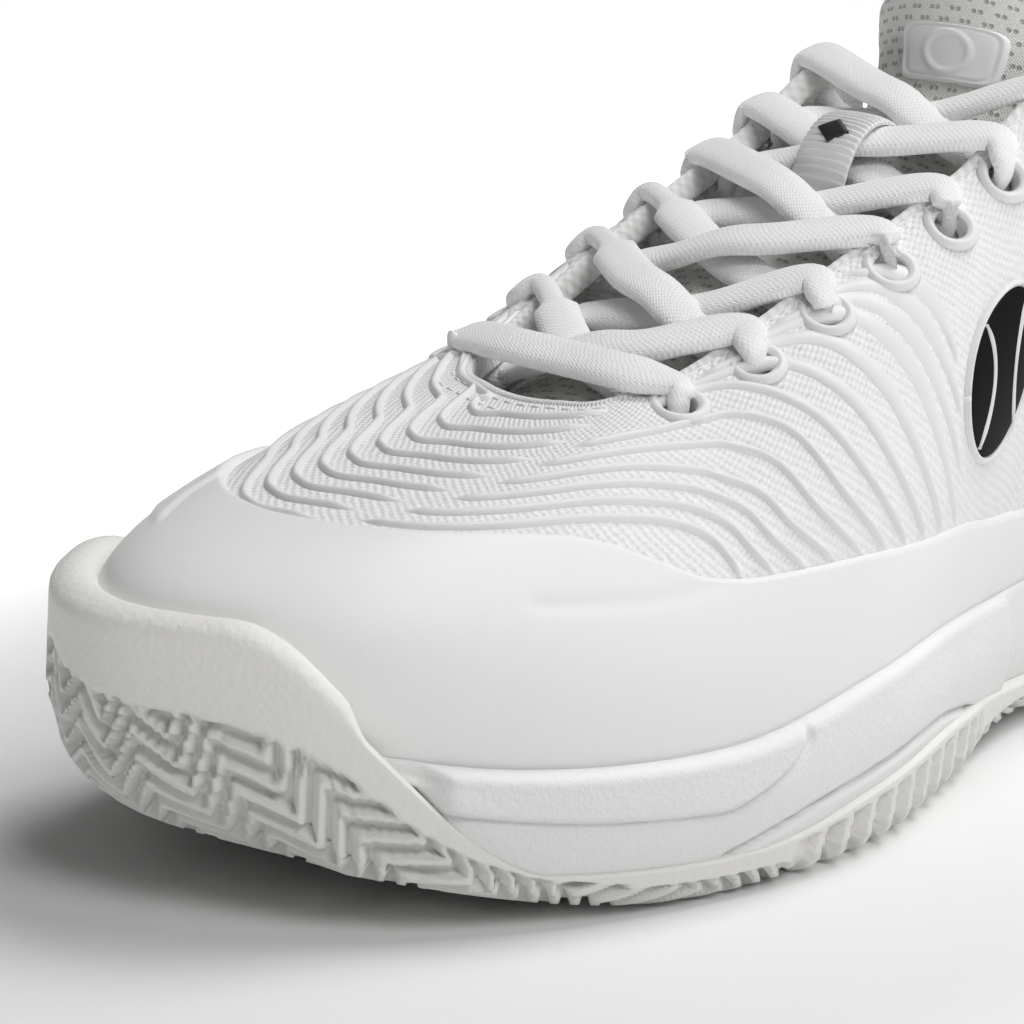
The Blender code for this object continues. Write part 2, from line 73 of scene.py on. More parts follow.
# ---------------------------------------------------------------- camera
# Looks at the toe from its outer side, a little above the floor, through a long lens.
turn, tilt, roll_of_camera = (math.radians(a) for a in (131.03, 15.79, 2.84))
back = Vector((math.sin(turn) * math.cos(tilt), -math.cos(turn) * math.cos(tilt), math.sin(tilt)))
right = Vector((math.cos(turn), math.sin(turn), 0))
up = back.cross(right)
lens_data = bpy.data.cameras.new("toe_view")
lens_data.lens, lens_data.sensor_width = 102.33, 36
camera = bpy.data.objects.new("toe_view", lens_data)
bpy.context.scene.collection.objects.link(camera)
across = right * math.cos(roll_of_camera) + up * math.sin(roll_of_camera)
upward = up * math.cos(roll_of_camera) - right * math.sin(roll_of_camera)
camera.matrix_world = (Matrix.Translation(Vector((0.05089, -0.01796, 0.045)) + back * 0.5133)
                       @ Matrix((across, upward, back)).transposed().to_4x4())
lens_data.clip_start, lens_data.clip_end = 0.02, 60
bpy.context.scene.camera = camera

# ---------------------------------------------------------------- floor and light
# A white studio floor with a painted glow that rises away from the shoe, leaving an oval of painted shade
# round it, a soft light above and behind, one low on the outer side and one high above it, so that the toe's
# face and the floor under it stay dark.
bpy.context.scene.view_settings.view_transform = "Standard"
bm = bmesh.new()
bmesh.ops.create_grid(bm, x_segments=1, y_segments=1, size=15)
floor_mesh = bpy.data.meshes.new("floor")
bm.to_mesh(floor_mesh)
bm.free()
floor = bpy.data.objects.new("floor", floor_mesh)
bpy.context.scene.collection.objects.link(floor)
floor_paint = bpy.data.materials.new("floor")
floor_paint.use_nodes = True
paint = floor_paint.node_tree.nodes["Principled BSDF"]
paint.inputs["Base Color"].default_value = (0.86, 0.86, 0.86, 1)
paint.inputs["Roughness"].default_value = 0.9
paint.inputs["Specular IOR Level"].default_value = 0.05
paint.inputs["Emission Strength"].default_value = 1.0
sweep = floor_paint.node_tree.nodes
place = sweep.new("ShaderNodeTexCoord")
centred = sweep.new("ShaderNodeMapping")
shoe_reach = (0.20, 0.11)                # half axes of the floor's oval of painted shade, where the painted glow is low, along and across
centred.inputs["Scale"].default_value = (1 / shoe_reach[0], 1 / shoe_reach[1], 1)
reach = sweep.new("ShaderNodeVectorMath")
reach.operation = "LENGTH"
# Painted glow of the floor: emission rises from 0 in the oval round the shoe to 0.6 outside it, which leaves
# painted shade near the shoe.
painted_glow = sweep.new("ShaderNodeMapRange")
painted_glow.interpolation_type = "SMOOTHSTEP"
painted_glow.inputs["From Min"].default_value, painted_glow.inputs["From Max"].default_value = 0.9, 1.8
painted_glow.inputs["To Min"].default_value, painted_glow.inputs["To Max"].default_value = 0.0, 0.6
shade = sweep.new("ShaderNodeCombineColor")
wire = floor_paint.node_tree.links.new
wire(place.outputs["Object"], centred.inputs["Vector"])
wire(centred.outputs["Vector"], reach.inputs[0])
wire(reach.outputs["Value"], painted_glow.inputs["Value"])
for channel in ("Red", "Green", "Blue"):
    wire(painted_glow.outputs["Result"], shade.inputs[channel])
wire(shade.outputs["Color"], paint.inputs["Emission Color"])
floor_mesh.materials.append(floor_paint)

sky = bpy.data.worlds.new("studio")
sky.use_nodes = True
sky.node_tree.nodes["Background"].inputs["Color"].default_value = (1, 1, 1, 1)
sky.node_tree.nodes["Background"].inputs["Strength"].default_value = 0.09
bpy.context.scene.world = sky


def lamp(name, place, aim, size, watts):
    data = bpy.data.lights.new(name, "AREA")
    data.size, data.energy = size, watts
    obj = bpy.data.objects.new(name, data)
    obj.location = place
    obj.rotation_euler = (Vector(aim) - Vector(place)).to_track_quat("-Z", "Y").to_euler()
    bpy.context.scene.collection.objects.link(obj)


lamp("key_light", (-0.65, 0.15, 1.6), (0, 0, 0.03), 0.9, 18)
lamp("side_light", (-0.15, 1.5, 0.95), (0.02, 0, 0.04), 0.9, 4)
lamp("front_light", (0.3, 1.1, 1.6), (0.02, 0, 0.05), 0.8, 10)


# ---------------------------------------------------------------- outsole
# One rubber moulding: herringbone tread below, a thin band at the sides, a ladder of pockets
# under the outrigger and a thick bumper that climbs over the toe and ends in a rounded bead.
MM = 0.001
GAP, RAND, RUBBER = 0.3, 0.8, 3.4
# sole x, y | lip z | outsole edge z | top edge x, y, z | lower swell out, up | upper swell x, y, z
STATIONS = {
    "heel_back":       (-150, 1, 40, 10, -140, 1, 100, 7, 24, -4, 0, -24),
    "heel_lat_corner": (-137, 27, 38, 9, -128, 17, 90, 7, 24, -4, 6, -20),
    "heel_lat":        (-104, 39.5, 34, 8, -99, 28, 76, 6, 20, 0, 10, -18),
    "ankle_lat":       (-66, 38.5, 31, 8.5, -69, 30, 86, 6, 20, 0, 11, -22),
    "waist_lat":       (-28, 40, 28, 9.5, -50, 25, 119, 6, 20, 2, 15, -22),
    "midfoot_lat":     (2, 47, 30, 12, -19, 22, 104, 6, 20, 3, 19, -12),
    "outrigger":       (36, 54.5, 29.5, 11, 12, 18, 90, 6, 20, 5, 20, -8),
    "ball_lat":        (70, 52.5, 24.5, 7, 42, 13, 76, 4, 20, 9, 20, -6),
    "toe_lat":         (107, 39, 25.5, 9, 58, 8, 71.5, 4, 25, 26, 18, -5),
    "toe_lat_corner":  (136, 16.5, 30.5, 14, 62, 1, 70.5, 8, 28, 46, 12, -11),
    "toe_tip":         (150, -12, 34, 16, 63, -7, 70, 9, 28, 50, -2, -13),
    "toe_med_corner":  (139, -35, 31.5, 15, 62, -15, 70.5, 8, 28, 46, -15, -12),
    "ball_med_front":  (107, -50, 29, 10, 58, -23, 71.5, 5, 26, 26, -18, -6),
    "ball_med":        (66, -55, 28, 8, 42, -28, 76, 3, 24, 8, -17, -6),
    "arch_front_med":  (24, -46.5, 29, 8, 12, -29, 90, 3, 22, 4, -15, -9),
    "waist_med":       (-20, -36, 32, 9.5, -19, -28, 104, 3, 22, 3, -12, -14),
    "arch_med":        (-48, -33.5, 34, 9.5, -50, -25, 119, 3, 22, 0, -10, -24),
    "ankle_med":       (-74, -34.5, 34, 8.5, -69, -28, 86, 4, 20, 0, -9, -22),
    "heel_med":        (-104, -37, 35, 8, -99, -26, 76, 5, 20, 0, -9, -18),
    "heel_med_corner": (-137, -23, 38, 9, -128, -15, 90, 6, 24, -4, -5, -20),
}
TABLE = np.array(list(STATIONS.values()), float)
COUNT = len(TABLE)


def smooth(x):
    x = np.clip(x, 0, 1)
    return x * x * (3 - 2 * x)


def column(col, u):
    """One column of the stations as a smooth closed curve in u."""
    u = np.asarray(u, float) % COUNT
    i = np.floor(u).astype(int)
    t = u - i
    a, b, c, d = (TABLE[(i + k) % COUNT, col] for k in (-1, 0, 1, 2))
    return 0.5 * (2*b + (c - a)*t + (2*a - 5*b + 4*c - d)*t**2 + (3*b - a - 3*c + d)*t**3)


def outline(u):
    return np.stack([column(0, u), column(1, u)], -1)


def outward(u):
    """Unit normal of the sole outline, pointing out."""
    d = outline(np.asarray(u, float) + 0.02) - outline(np.asarray(u, float) - 0.02)
    n = np.stack([-d[..., 1], d[..., 0]], -1)
    return n / np.linalg.norm(n, axis=-1, keepdims=True)


def rise(x):
    """Height of the underside above the ground: toe spring, waist and heel bevel."""
    x = np.asarray(x, float)
    toe = 15 * np.clip((x - 70) / 80, 0, None) ** 2
    heel = 5 * np.clip((-x - 118) / 32, 0, None) ** 2
    return toe + heel + 2.5 * np.exp(-((x + 35) / 28) ** 2)


def foot_level(x):
    """Height of the edge where the upper meets the sole."""
    x = np.asarray(x, float)
    return 20 + 5 * smooth((40 - x) / 150) + 15 * np.clip((x - 70) / 80, 0, None) ** 2


def edge_height(u):
    u = np.asarray(u, float) % COUNT
    bumper = smooth((u - 7.9) / 1.5) * smooth((12.9 - u) / 1.6)
    return column(3, u) * (1 - bumper) + 46 * bumper


def feather(u):
    p = outline(u) - outward(u) * 7.0
    return np.concatenate([p, foot_level(p[..., 0])[..., None]], -1)


def meridians(u, v):
    u, v = np.broadcast_arrays(np.asarray(u, float), np.asarray(v, float))
    foot = feather(u)
    low = foot + np.concatenate([outward(u) * column(7, u)[..., None], column(8, u)[..., None]], -1)
    top = np.stack([column(k, u) for k in (4, 5, 6)], -1)
    high = top + np.stack([column(k, u) for k in (9, 10, 11)], -1)
    v = v[..., None]
    w = 1 - v
    return w**3 * foot + 3*w*w*v * low + 3*w*v*v * high + v**3 * top


def skin_normal(u, v):
    e = 0.02
    du = meridians(u + e, v) - meridians(u - e, v)
    dv = meridians(u, np.clip(v + e, 0, 1)) - meridians(u, np.clip(v - e, 0, 1))
    n = np.cross(dv, du)
    return n / np.linalg.norm(n, axis=-1, keepdims=True)


def skin(u, v, h=0.0):
    """Point of the upper: u round the shoe, v from sole 0 to top edge 1, h out from the surface."""
    u, v = np.broadcast_arrays(np.asarray(u, float), np.asarray(v, float))
    return meridians(u, v) + skin_normal(u, v) * np.asarray(h, float)[..., None]


def toe_share(u):
    u = np.asarray(u, float) % COUNT
    return smooth((u - 7.4) / 1.4) * smooth((13.3 - u) / 1.6)


def tray(u, s):
    """The outsole's outer face: s 0 at the middle of the tread, 1 where it starts to roll up,
    2 at the top of the roll and 3 at the rim."""
    u, s = np.broadcast_arrays(np.asarray(u, float), np.asarray(s, float))
    x, t = outline(u)[..., 0], toe_share(u)
    wide, high = 5 + 15 * t, 4.5 + t * np.clip(edge_height(u) - rise(x) - 25, 0, None)
    n = outward(u)
    start = outline(u) - n * wide[..., None]
    middle = np.clip(x, -112, 112)
    middle = np.stack([middle, 2 - 9 * smooth((middle - 40) / 80)], -1)
    angle = np.clip(s - 1, 0, 1) * math.pi / 2
    climb = np.clip(s - 2, 0, 1)
    p = middle + (start - middle) * np.clip(s, 0, 1)[..., None]
    p = p + n * (wide * np.sin(angle) - 0.5 * t * climb)[..., None]
    z = rise(p[..., 0]) + high - high * np.cos(angle)
    z = z + (edge_height(u) - z) * climb
    return np.concatenate([p, z[..., None]], -1)


def normals_of(grid, closed=True):
    """Unit normals of a grid of points [row, column, xyz], by differences."""
    if closed:
        along = np.roll(grid, -1, 1) - np.roll(grid, 1, 1)
    else:
        along = np.gradient(grid, axis=1)
    n = np.cross(np.gradient(grid, axis=0), along)
    return n / (np.linalg.norm(n, axis=-1, keepdims=True) + 1e-9)


def sheet(bm, rows, cols, closed):
    """A sheet of rows x cols vertices; each keeps its row and column."""
    bmesh.ops.create_grid(bm, x_segments=cols - 1, y_segments=rows - 1, size=0.5)
    row, col = bm.verts.layers.int.new("row"), bm.verts.layers.int.new("col")
    place = {}
    for v in bm.verts:
        v[row], v[col] = round((v.co.y + 0.5) * (rows - 1)), round((v.co.x + 0.5) * (cols - 1))
        place[v[row], v[col]] = v
    if closed:
        bmesh.ops.weld_verts(bm, targetmap={place[r, cols - 1]: place[r, 0] for r in range(rows)})
    return row, col


def shaped(points, closed=False, caps=False, uv=None, marks=None, flip=None):
    """A bmesh through the grid of points [row, column, xyz] in mm. uv and marks are grids that
    become its UV map, in mm, and its attributes."""
    bm = bmesh.new()
    rows, cols = points.shape[:2]
    row, col = sheet(bm, rows, cols + closed, closed)
    layer = bm.loops.layers.uv.new("run") if uv is not None else None
    masks = {key: bm.verts.layers.float.new(key) for key in (marks or {})}
    for v in bm.verts:
        r, c = v[row], v[col]
        v.co = Vector(points[r, c]) * MM
        for key, mask in masks.items():
            v[mask] = float(marks[key][r, c])
    if layer is not None:
        for face in bm.faces:
            wrap = closed and max(l.vert[col] for l in face.loops) - min(l.vert[col] for l in face.loops) > 1
            for l in face.loops:
                r, c = l.vert[row], l.vert[col]
                l[layer].uv = uv[r, c] + (uv[r, -1] - uv[r, 0] if wrap and c == 0 else 0)
    if caps:
        ends = bmesh.ops.holes_fill(bm, edges=[e for e in bm.edges if e.is_boundary], sides=0)["faces"]
        bmesh.ops.triangulate(bm, faces=ends)
    bmesh.ops.recalc_face_normals(bm, faces=bm.faces[:])
    if (bm.calc_volume(signed=True) < 0) if flip is None else flip:
        bmesh.ops.reverse_faces(bm, faces=bm.faces[:])
    return bm


def piece(name, bm, finish, body, replaces=()):
    """Puts a finished mesh in the scene, on its body."""
    mesh = bpy.data.meshes.new(name)
    bm.to_mesh(mesh)
    bm.free()
    mesh.materials.append(finish)
    mesh.shade_smooth()
    obj = bpy.data.objects.new(name, mesh)
    bpy.context.scene.collection.objects.link(obj)
    if body:
        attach(obj, body)
    if replaces:
        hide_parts(*replaces)
    return obj


def near(lines, points):
    """Distance from each point of a grid to the nearest of some lines of points, and its index."""
    tree = KDTree(len(lines))
    for i, p in enumerate(lines):
        tree.insert(p, i)
    tree.balance()
    flat = points.reshape(-1, 3)
    found = np.array([tree.find(p)[1:] for p in flat])
    return found[:, 1].reshape(points.shape[:-1]), found[:, 0].astype(int).reshape(points.shape[:-1])


def polyline(points, step=0.02):
    """Points along a smooth line through control points."""
    points = np.asarray(points, float)
    n = len(points)
    t = np.arange(0, n - 1 + 1e-9, step)
    i = np.minimum(t.astype(int), n - 2)
    f = (t - i)[:, None]
    a, b, c, d = (points[np.clip(i + m, 0, n - 1)] for m in (-1, 0, 1, 2))
    return 0.5 * (2*b + (c - a)*f + (2*a - 5*b + 4*c - d)*f**2 + (3*b - a - 3*c + d)*f**3)


class Wire:
    """An output of a shader node that takes part in sums."""

    def __init__(self, maker, socket):
        self.maker, self.socket = maker, socket

    def __add__(self, other):
        return self.maker.maths("ADD", self, other)

    def __sub__(self, other):
        return self.maker.maths("SUBTRACT", self, other)

    def __rsub__(self, other):
        return self.maker.maths("SUBTRACT", other, self)

    def __mul__(self, other):
        return self.maker.maths("MULTIPLY", self, other)

    def __truediv__(self, other):
        return self.maker.maths("DIVIDE", self, other)

    def __pow__(self, other):
        return self.maker.maths("POWER", self, other)

    __radd__, __rmul__ = __add__, __mul__


class Finish:
    """A material whose nodes are added one call at a time."""

    def __init__(self, name, colour, roughness, **sockets):
        self.material = bpy.data.materials.new(name)
        self.material.use_nodes = True
        self.nodes, self.links = self.material.node_tree.nodes, self.material.node_tree.links
        self.surface = self.nodes["Principled BSDF"]
        self.set("Base Color", (*colour, 1))
        self.set("Roughness", roughness)
        for key, value in sockets.items():
            self.set(key.replace("_", " "), value)

    def set(self, name, value):
        if isinstance(value, Wire):
            self.links.new(value.socket, self.surface.inputs[name])
        else:
            self.surface.inputs[name].default_value = value

    def node(self, kind, settings, values, out=0):
        made = self.nodes.new("ShaderNode" + kind)
        for key, value in settings.items():
            if key == "stops":
                for stop, (at, colour) in zip(made.color_ramp.elements, value):
                    stop.position, stop.color = at, (*colour, 1)
            else:
                setattr(made, key, value)
        for key, value in values.items():
            if isinstance(value, Wire):
                self.links.new(value.socket, made.inputs[key])
            else:
                made.inputs[key].default_value = value
        return Wire(self, made.outputs[out])

    def maths(self, operation, *values):
        return self.node("Math", {"operation": operation}, dict(enumerate(values)))

    def place(self):
        return self.node("TexCoord", {}, {}, "Object")

    def noise(self, size, detail=3, where=None, out=0):
        return self.node("TexNoise", {}, {"Vector": where or self.place(), "Scale": 1 / (size * MM),
                                          "Detail": detail}, out)

    def mask(self, name):
        return self.node("Attribute", {"attribute_name": name}, {}, "Fac")

    def run(self):
        """Across and along the piece's own UV map, in mm."""
        where = self.node("UVMap", {"uv_map": "run"}, {})
        return [self.node("SeparateXYZ", {}, {0: where}, k) for k in (0, 1)]

    def mix(self, share, a, b):
        return self.node("Mix", {"data_type": "RGBA"}, {0: share, 6: a, 7: b}, 2)

    def bump(self, height, depth, onto=None):
        """Relief whose height runs 0 to 1 over depth mm."""
        values = {"Height": height, "Strength": 1.0, "Distance": depth * MM}
        if onto:
            values["Normal"] = onto
        return self.node("Bump", {}, values)


def spaced(*spans):
    """Column positions round the shoe, each span given as start, end and spacing in u."""
    return np.concatenate([np.arange(a, b - 1e-6, (b - a) / round((b - a) / step)) for a, b, step in spans])


ROUND_SOLE = spaced((0, 4.2, 0.075), (4.2, 7.0, 0.018), (7.0, 12.4, 0.0225), (12.4, 20, 0.07))
base_rows = np.linspace(0.02, 0.99, 55)
s = np.concatenate([base_rows, np.linspace(1, 2, 76)[:-1], np.linspace(2, 3, 24)])[:, None]
u = ROUND_SOLE[None]
face = tray(u, s)
uu, ss = np.broadcast_arrays(u, s)
run_up = np.concatenate([np.zeros((1, face.shape[1])),
                         np.cumsum(np.linalg.norm(np.diff(face, axis=0), axis=-1), axis=0)])
edge = int(np.argmax(s[:, 0] >= 1))
spread = np.where(ss > 1, run_up - run_up[edge], 0)
flat = np.where((ss > 1)[..., None], face[edge][None, :, :2] + outward(uu) * spread[..., None],
                face[..., :2])

LEG, PITCH = 7.6, 4.7                    # width of one leg of the zigzag, and rib to rib along x
zigzag = np.abs((flat[..., 1] + 200) % (2 * LEG) - LEG)
phase = (flat[..., 0] - zigzag + 400) / PITCH
across_rib = np.abs(phase % 1 - 0.5) * PITCH * 0.707 * 2
rib = smooth((across_rib - 1.35) / 0.62)
line_u = np.array([7.6, 8.0, 8.25, 8.5, 8.75, 9.0, 9.25, 9.5, 10.0, 10.5, 11, 12, 12.5, 13.0, 13.4])
line_z = np.array([6.5, 9.5, 13.0, 18.5, 26.0, 31.0, 33.5, 35.0, 36.0, 40.0, 43.0, 40, 30, 17, 6.0])
boundary = np.interp(uu, line_u, line_z)
low_edge = rise(face[..., 0]) + 4.6
boundary = np.where((uu > 7.6) & (uu < 13.4), np.maximum(boundary, low_edge), low_edge)
tread = smooth((boundary - face[..., 2]) / 0.7)
window = smooth(((flat[..., 0] + 42) / 34) ** 2 * 1.6 + ((flat[..., 1] - 2) / 17) ** 2 * 1.6 - 1.2)
depth = 2.3 * tread * (1 - rib) * window + 1.6 * (1 - window) * smooth((1 - ss) * 4)

# the ladder under the outrigger
ladder = smooth((uu - 4.5) / 0.12) * smooth((6.85 - uu) / 0.5)
ladder = ladder * smooth((ss - 0.96) / 0.05) * smooth((2.85 - ss) / 0.08)
rung = np.abs(((uu + 0.04 * (ss - 2)) / 0.205) % 1 - 0.5) * 2
depth = depth * (1 - smooth((uu - 4.4) / 0.1) * smooth((6.9 - uu) / 0.3) * smooth((ss - 0.93) / 0.04))
depth = depth + 2.8 * ladder * smooth((0.66 - rung) / 0.1)

# the bumper swells over the toe
swell = 1.9 * toe_share(uu) * smooth((face[..., 2] - 24) / 8)
swell = swell * smooth((uu - 9.2) / 1.2) * smooth((12.6 - uu) / 1.2)
pout = 0.9 * smooth((uu - 4.4) / 0.5) * smooth((7.2 - uu) / 1.0) * smooth((ss - 1.3) / 0.5)
face = face + normals_of(face) * (swell + pout - depth)[..., None]

# the bead that closes the rim over to the rand
rim = face[-1]
covers = smooth((edge_height(ROUND_SOLE) - foot_level(outline(ROUND_SOLE)[:, 0]) - 3) / 3)


def at_height(u, z, h):
    """Point of the upper, h out from it, at a height z."""
    v = np.linspace(0, 0.7, 141)
    line = skin(np.asarray(u)[:, None], v[None], h)
    share = np.array([np.interp(want, heights, v) for want, heights in zip(z, line[..., 2])])
    return skin(u, share, h), share


inner_edge, _ = at_height(ROUND_SOLE, edge_height(ROUND_SOLE) + 0.5 * covers, GAP + RAND - 0.4)
thin_edge = rim - np.concatenate([outward(ROUND_SOLE) * RUBBER, np.zeros((len(rim), 1))], -1)
inner_edge = thin_edge + (inner_edge - thin_edge) * covers[:, None]
bead = []
for t in np.linspace(0, 1, 13)[1:]:
    p = rim + (inner_edge - rim) * (0.5 - 0.5 * math.cos(math.pi * t))
    p = p + np.array([0, 0, 1]) * ((0.5 + 2.7 * covers) * math.sin(math.pi * t) ** 0.8)[:, None]
    bead.append(p)
tuck = bead[-1] - np.array([0, 0, 5.0])
tuck[:, :2] -= outward(ROUND_SOLE) * 1.5
shell = np.concatenate([face, np.array(bead), tuck[None]])
marks = {"tread": np.concatenate([tread, np.zeros((13, tread.shape[1]))])}

rubber = Finish("bumper_rubber", (0.80, 0.79, 0.755), 0.62, Specular_IOR_Level=0.35)
tread_smooth_and_shaded = rubber.mask("tread")
grain = rubber.node("TexVoronoi", {"feature": "SMOOTH_F1"},
                    {"Vector": rubber.place(), "Scale": 1 / (1.15 * MM), "Smoothness": 0.6})
pores = rubber.noise(0.5, 2)
relief = (grain * 0.75 + pores * 0.45) * (1 - tread_smooth_and_shaded * 0.85)
rubber.set("Normal", rubber.bump(relief, 0.16))
# Base colour: the tread and its low band are painted darker than the bumper, as painted shade on the same
# rubber; a large noise varies the tone.
soil = rubber.noise(22, 2)
rubber.set("Base Color", rubber.mix(tread_smooth_and_shaded * 0.8 + soil * 0.15, (0.83, 0.82, 0.785, 1),
                                    (0.76, 0.755, 0.735, 1)))
piece("outsole_rubber", shaped(shell, closed=True, caps=True, marks=marks), rubber.material,
      "shoe", ["outsole"])


# ---------------------------------------------------------------- midsole
# Moulded foam cup with a sanded skin. A panel line runs along its outer side and a second one
# frames a smooth strip over the outrigger; the foot side ends in a rounded lip.
lip_height = column(2, ROUND_SOLE)
behind = smooth((edge_height(ROUND_SOLE) - foot_level(outline(ROUND_SOLE)[:, 0]) - 4) / 3)
lip_height = lip_height * (1 - behind) + (foot_level(outline(ROUND_SOLE)[:, 0]) + 2.0) * behind
start = np.minimum(edge_height(ROUND_SOLE) + 0.3, lip_height - 4)
inset = 1.0 + 3.6 * smooth((start - lip_height + 9) / 5)
level_rows = np.linspace(0, 1, 36)[:, None]
wall_z = start + (lip_height - 2.3 - start) * level_rows
wall = outline(ROUND_SOLE)[None] - outward(ROUND_SOLE)[None] * (inset + 0 * wall_z)[..., None]
wall = np.concatenate([wall, wall_z[..., None]], -1)
crown = 0.9 * np.sin(math.pi * level_rows) * (1 - behind)
uu = np.broadcast_to(ROUND_SOLE, wall_z.shape)


def on_wall(points):
    """A line drawn on the midsole wall from points given as u and height."""
    line = polyline(points)
    xy = outline(line[:, 0]) - outward(line[:, 0]) * 1.0
    return np.concatenate([xy, line[:, 1:]], -1)


PANEL = [(8.5, 21), (8.25, 19.4), (8.0, 18), (7.65, 16.4), (7.15, 15), (7.0, 16), (6.85, 18),
         (6.72, 20.5), (6.63, 23.5), (6.58, 26)]
STRIP = [(7.1, 7.5), (6.8, 10.5), (6.45, 13), (5.85, 15), (5.3, 15.2), (5.0, 14), (4.72, 12), (4.6, 9)]
INNER_PANEL = [(12.4, 22), (13.2, 19), (14.2, 17), (15.4, 17.5), (16.2, 20), (16.6, 24)]
HEEL_LINE = [(17.2, 17), (18.4, 16), (19.6, 17), (20.6, 17), (21.8, 16), (23.2, 15.5)]
cuts, _ = near(np.concatenate([on_wall(line) for line in (PANEL, STRIP, INNER_PANEL, HEEL_LINE)]), wall)
strip_z = np.interp(uu, [4.6, 4.72, 5.0, 5.3, 5.85, 6.45, 6.8, 7.1], [9, 12, 14, 15.2, 15, 13, 10.5, 7.5])
in_strip = smooth((strip_z - wall_z) / 0.5) * smooth((uu - 4.6) / 0.05) * smooth((7.1 - uu) / 0.1)
panel_z = np.interp(uu, [6.58, 6.63, 6.72, 6.85, 7.0, 7.15, 7.65, 8.0, 8.5],
                    [26, 23.5, 20.5, 18, 16, 15, 16.4, 18, 21])
over_panel = smooth((wall_z - panel_z) / 1.2) * smooth((uu - 6.6) / 0.05) * smooth((8.9 - uu) / 0.3)
waist_step = smooth((4.12 - uu) / 0.09) * smooth((uu - 2.4) / 1.2)
out = crown + 0.35 * over_panel + 0.5 * in_strip - 1.15 * np.exp(-(cuts / 0.62) ** 2) - 2.0 * waist_step
wall = wall + np.concatenate([outward(uu), np.zeros(uu.shape + (1,))], -1) * out[..., None]
inner_lip, lip_share = at_height(ROUND_SOLE, lip_height - 0.4, GAP + RAND - 0.15)
top = wall[-1]
corner = top.copy()
corner[:, 2] = lip_height + 0.7 * (1 - behind)
turned = [top * (1 - t) ** 2 + corner * 2 * t * (1 - t) + inner_lip * t * t
          for t in np.linspace(0, 1, 12)[1:]]
foot = np.array([wall[0] - np.concatenate([outward(ROUND_SOLE) * d, np.full((len(top), 1), 1.0 * d)], -1)
                 for d in (2.4, 0.8)])
inside = np.array([skin(ROUND_SOLE, lip_share * k, 0.6) for k in (0.6, 0.1)])
cup = np.concatenate([foot, wall, np.array(turned), inside])
slick = np.concatenate([np.zeros((2, len(top))), in_strip,
                        np.linspace(0.1, 0.8, 11)[:, None] + 0 * top[None, :, 0],
                        np.ones((2, len(top)))])
foam = Finish("midsole_foam", (0.86, 0.86, 0.855), 0.58, Specular_IOR_Level=0.3)
sand = foam.noise(0.95, 3, out=0) * 0.7 + foam.noise(0.38, 2) * 0.45
foam.set("Normal", foam.bump(sand * (1 - foam.mask("slick") * 0.85), 0.30))
foam.set("Base Color", foam.mix(foam.noise(18, 2), (0.87, 0.87, 0.868, 1), (0.845, 0.845, 0.84, 1)))
piece("midsole_foam", shaped(cup, closed=True, caps=True, marks={"slick": slick}), foam.material,
      "shoe", ["midsole"])

# ---------------------------------------------------------------- rand
# A smooth film shell heat-moulded over the knit, tall round the toe, low at the waist.
ROUND_RAND = spaced((0, 4.2, 0.07), (4.2, 12.4, 0.035), (12.4, 20, 0.06))


def rand_top(u):
    """Share of the way up the upper where the film ends."""
    u = np.asarray(u, float) % COUNT
    folded = np.where(u > 10, 20 - u, u)
    return np.interp(folded, [0, 1.5, 3, 4, 4.5, 5, 5.5, 6, 6.5, 7, 7.25, 7.5, 7.75, 8, 8.5, 9, 9.5, 10],
                     [.30, .28, .25, .255, .28, .32, .345, .375, .405, .432, .455, .50, .54, .566, .585,
                      .59, .582, .575])


rows = np.concatenate([np.linspace(0, 0.93, 60), np.linspace(0.94, 1, 9)])[:, None]
v = 0.02 + (rand_top(ROUND_RAND)[None] - 0.02) * rows
uu = np.broadcast_to(ROUND_RAND, v.shape)
flat_rand = skin(uu, v)
drop = np.linalg.norm(flat_rand - flat_rand[-1:], axis=-1)
crease = polyline([(8.1, .392), (7.85, .398), (7.5, .407), (7.15, .43)])
fold, _ = near(skin(crease[:, 0], crease[:, 1]), flat_rand)
plate_edge = np.interp(v, [0.40, 0.44, 0.52, 0.60], [10.62, 10.62, 10.86, 11.02])
plate = smooth((uu - plate_edge) / 0.05) * smooth((12.6 - uu) / 0.6) * smooth((v - 0.42) / 0.025)
film_h = 0.1 + 1.0 * np.sqrt(np.clip(drop / 1.0, 0, 1)) - 0.35 * np.exp(-(fold / 1.3) ** 2) + 0.55 * plate
shell = skin(uu, v, film_h)
lid = skin(ROUND_RAND, rand_top(ROUND_RAND), -0.6)
film = Finish("rand_film", (0.875, 0.875, 0.872), 0.46, Specular_IOR_Level=0.38, Sheen_Weight=0.08)
film.set("Normal", film.bump(film.noise(0.35, 2) * 0.5 + film.noise(3.2, 2) * 0.5, 0.035))
film.set("Roughness", film.noise(9, 3) * 0.14 + 0.40)
piece("rand_film", shaped(np.concatenate([shell, lid[None]]), closed=True, flip=False), film.material, "shoe",
      ["rand"])

# ---------------------------------------------------------------- upper knit
# One knitted sock of open mesh from the rand to the collar and round the throat, with punched eyelets.
ROUND_KNIT = spaced((0, 4.2, 0.06), (4.2, 8.4, 0.026), (8.4, 11.6, 0.030), (11.6, 15.8, 0.028),
                    (15.8, 20, 0.06))
EYELETS, EYELET_SPACING = 7, 17.5
slope = np.radians(22.8 + 1.9 * np.arange(EYELETS - 1))
EYELET_X = 51.0 - np.concatenate([[0], np.cumsum(EYELET_SPACING * np.cos(slope))])


def inset_share(u, inset):
    """v of the point that many mm from the top edge, measured along the surface."""
    v = np.linspace(0.5, 1, 201)
    out = []
    for one in np.atleast_1d(u):
        p = skin(np.full_like(v, one), v)
        run = np.concatenate([[0], np.cumsum(np.linalg.norm(np.diff(p, axis=0), axis=1))])
        out.append(np.interp(run[-1] - inset, run, v))
    return np.array(out)


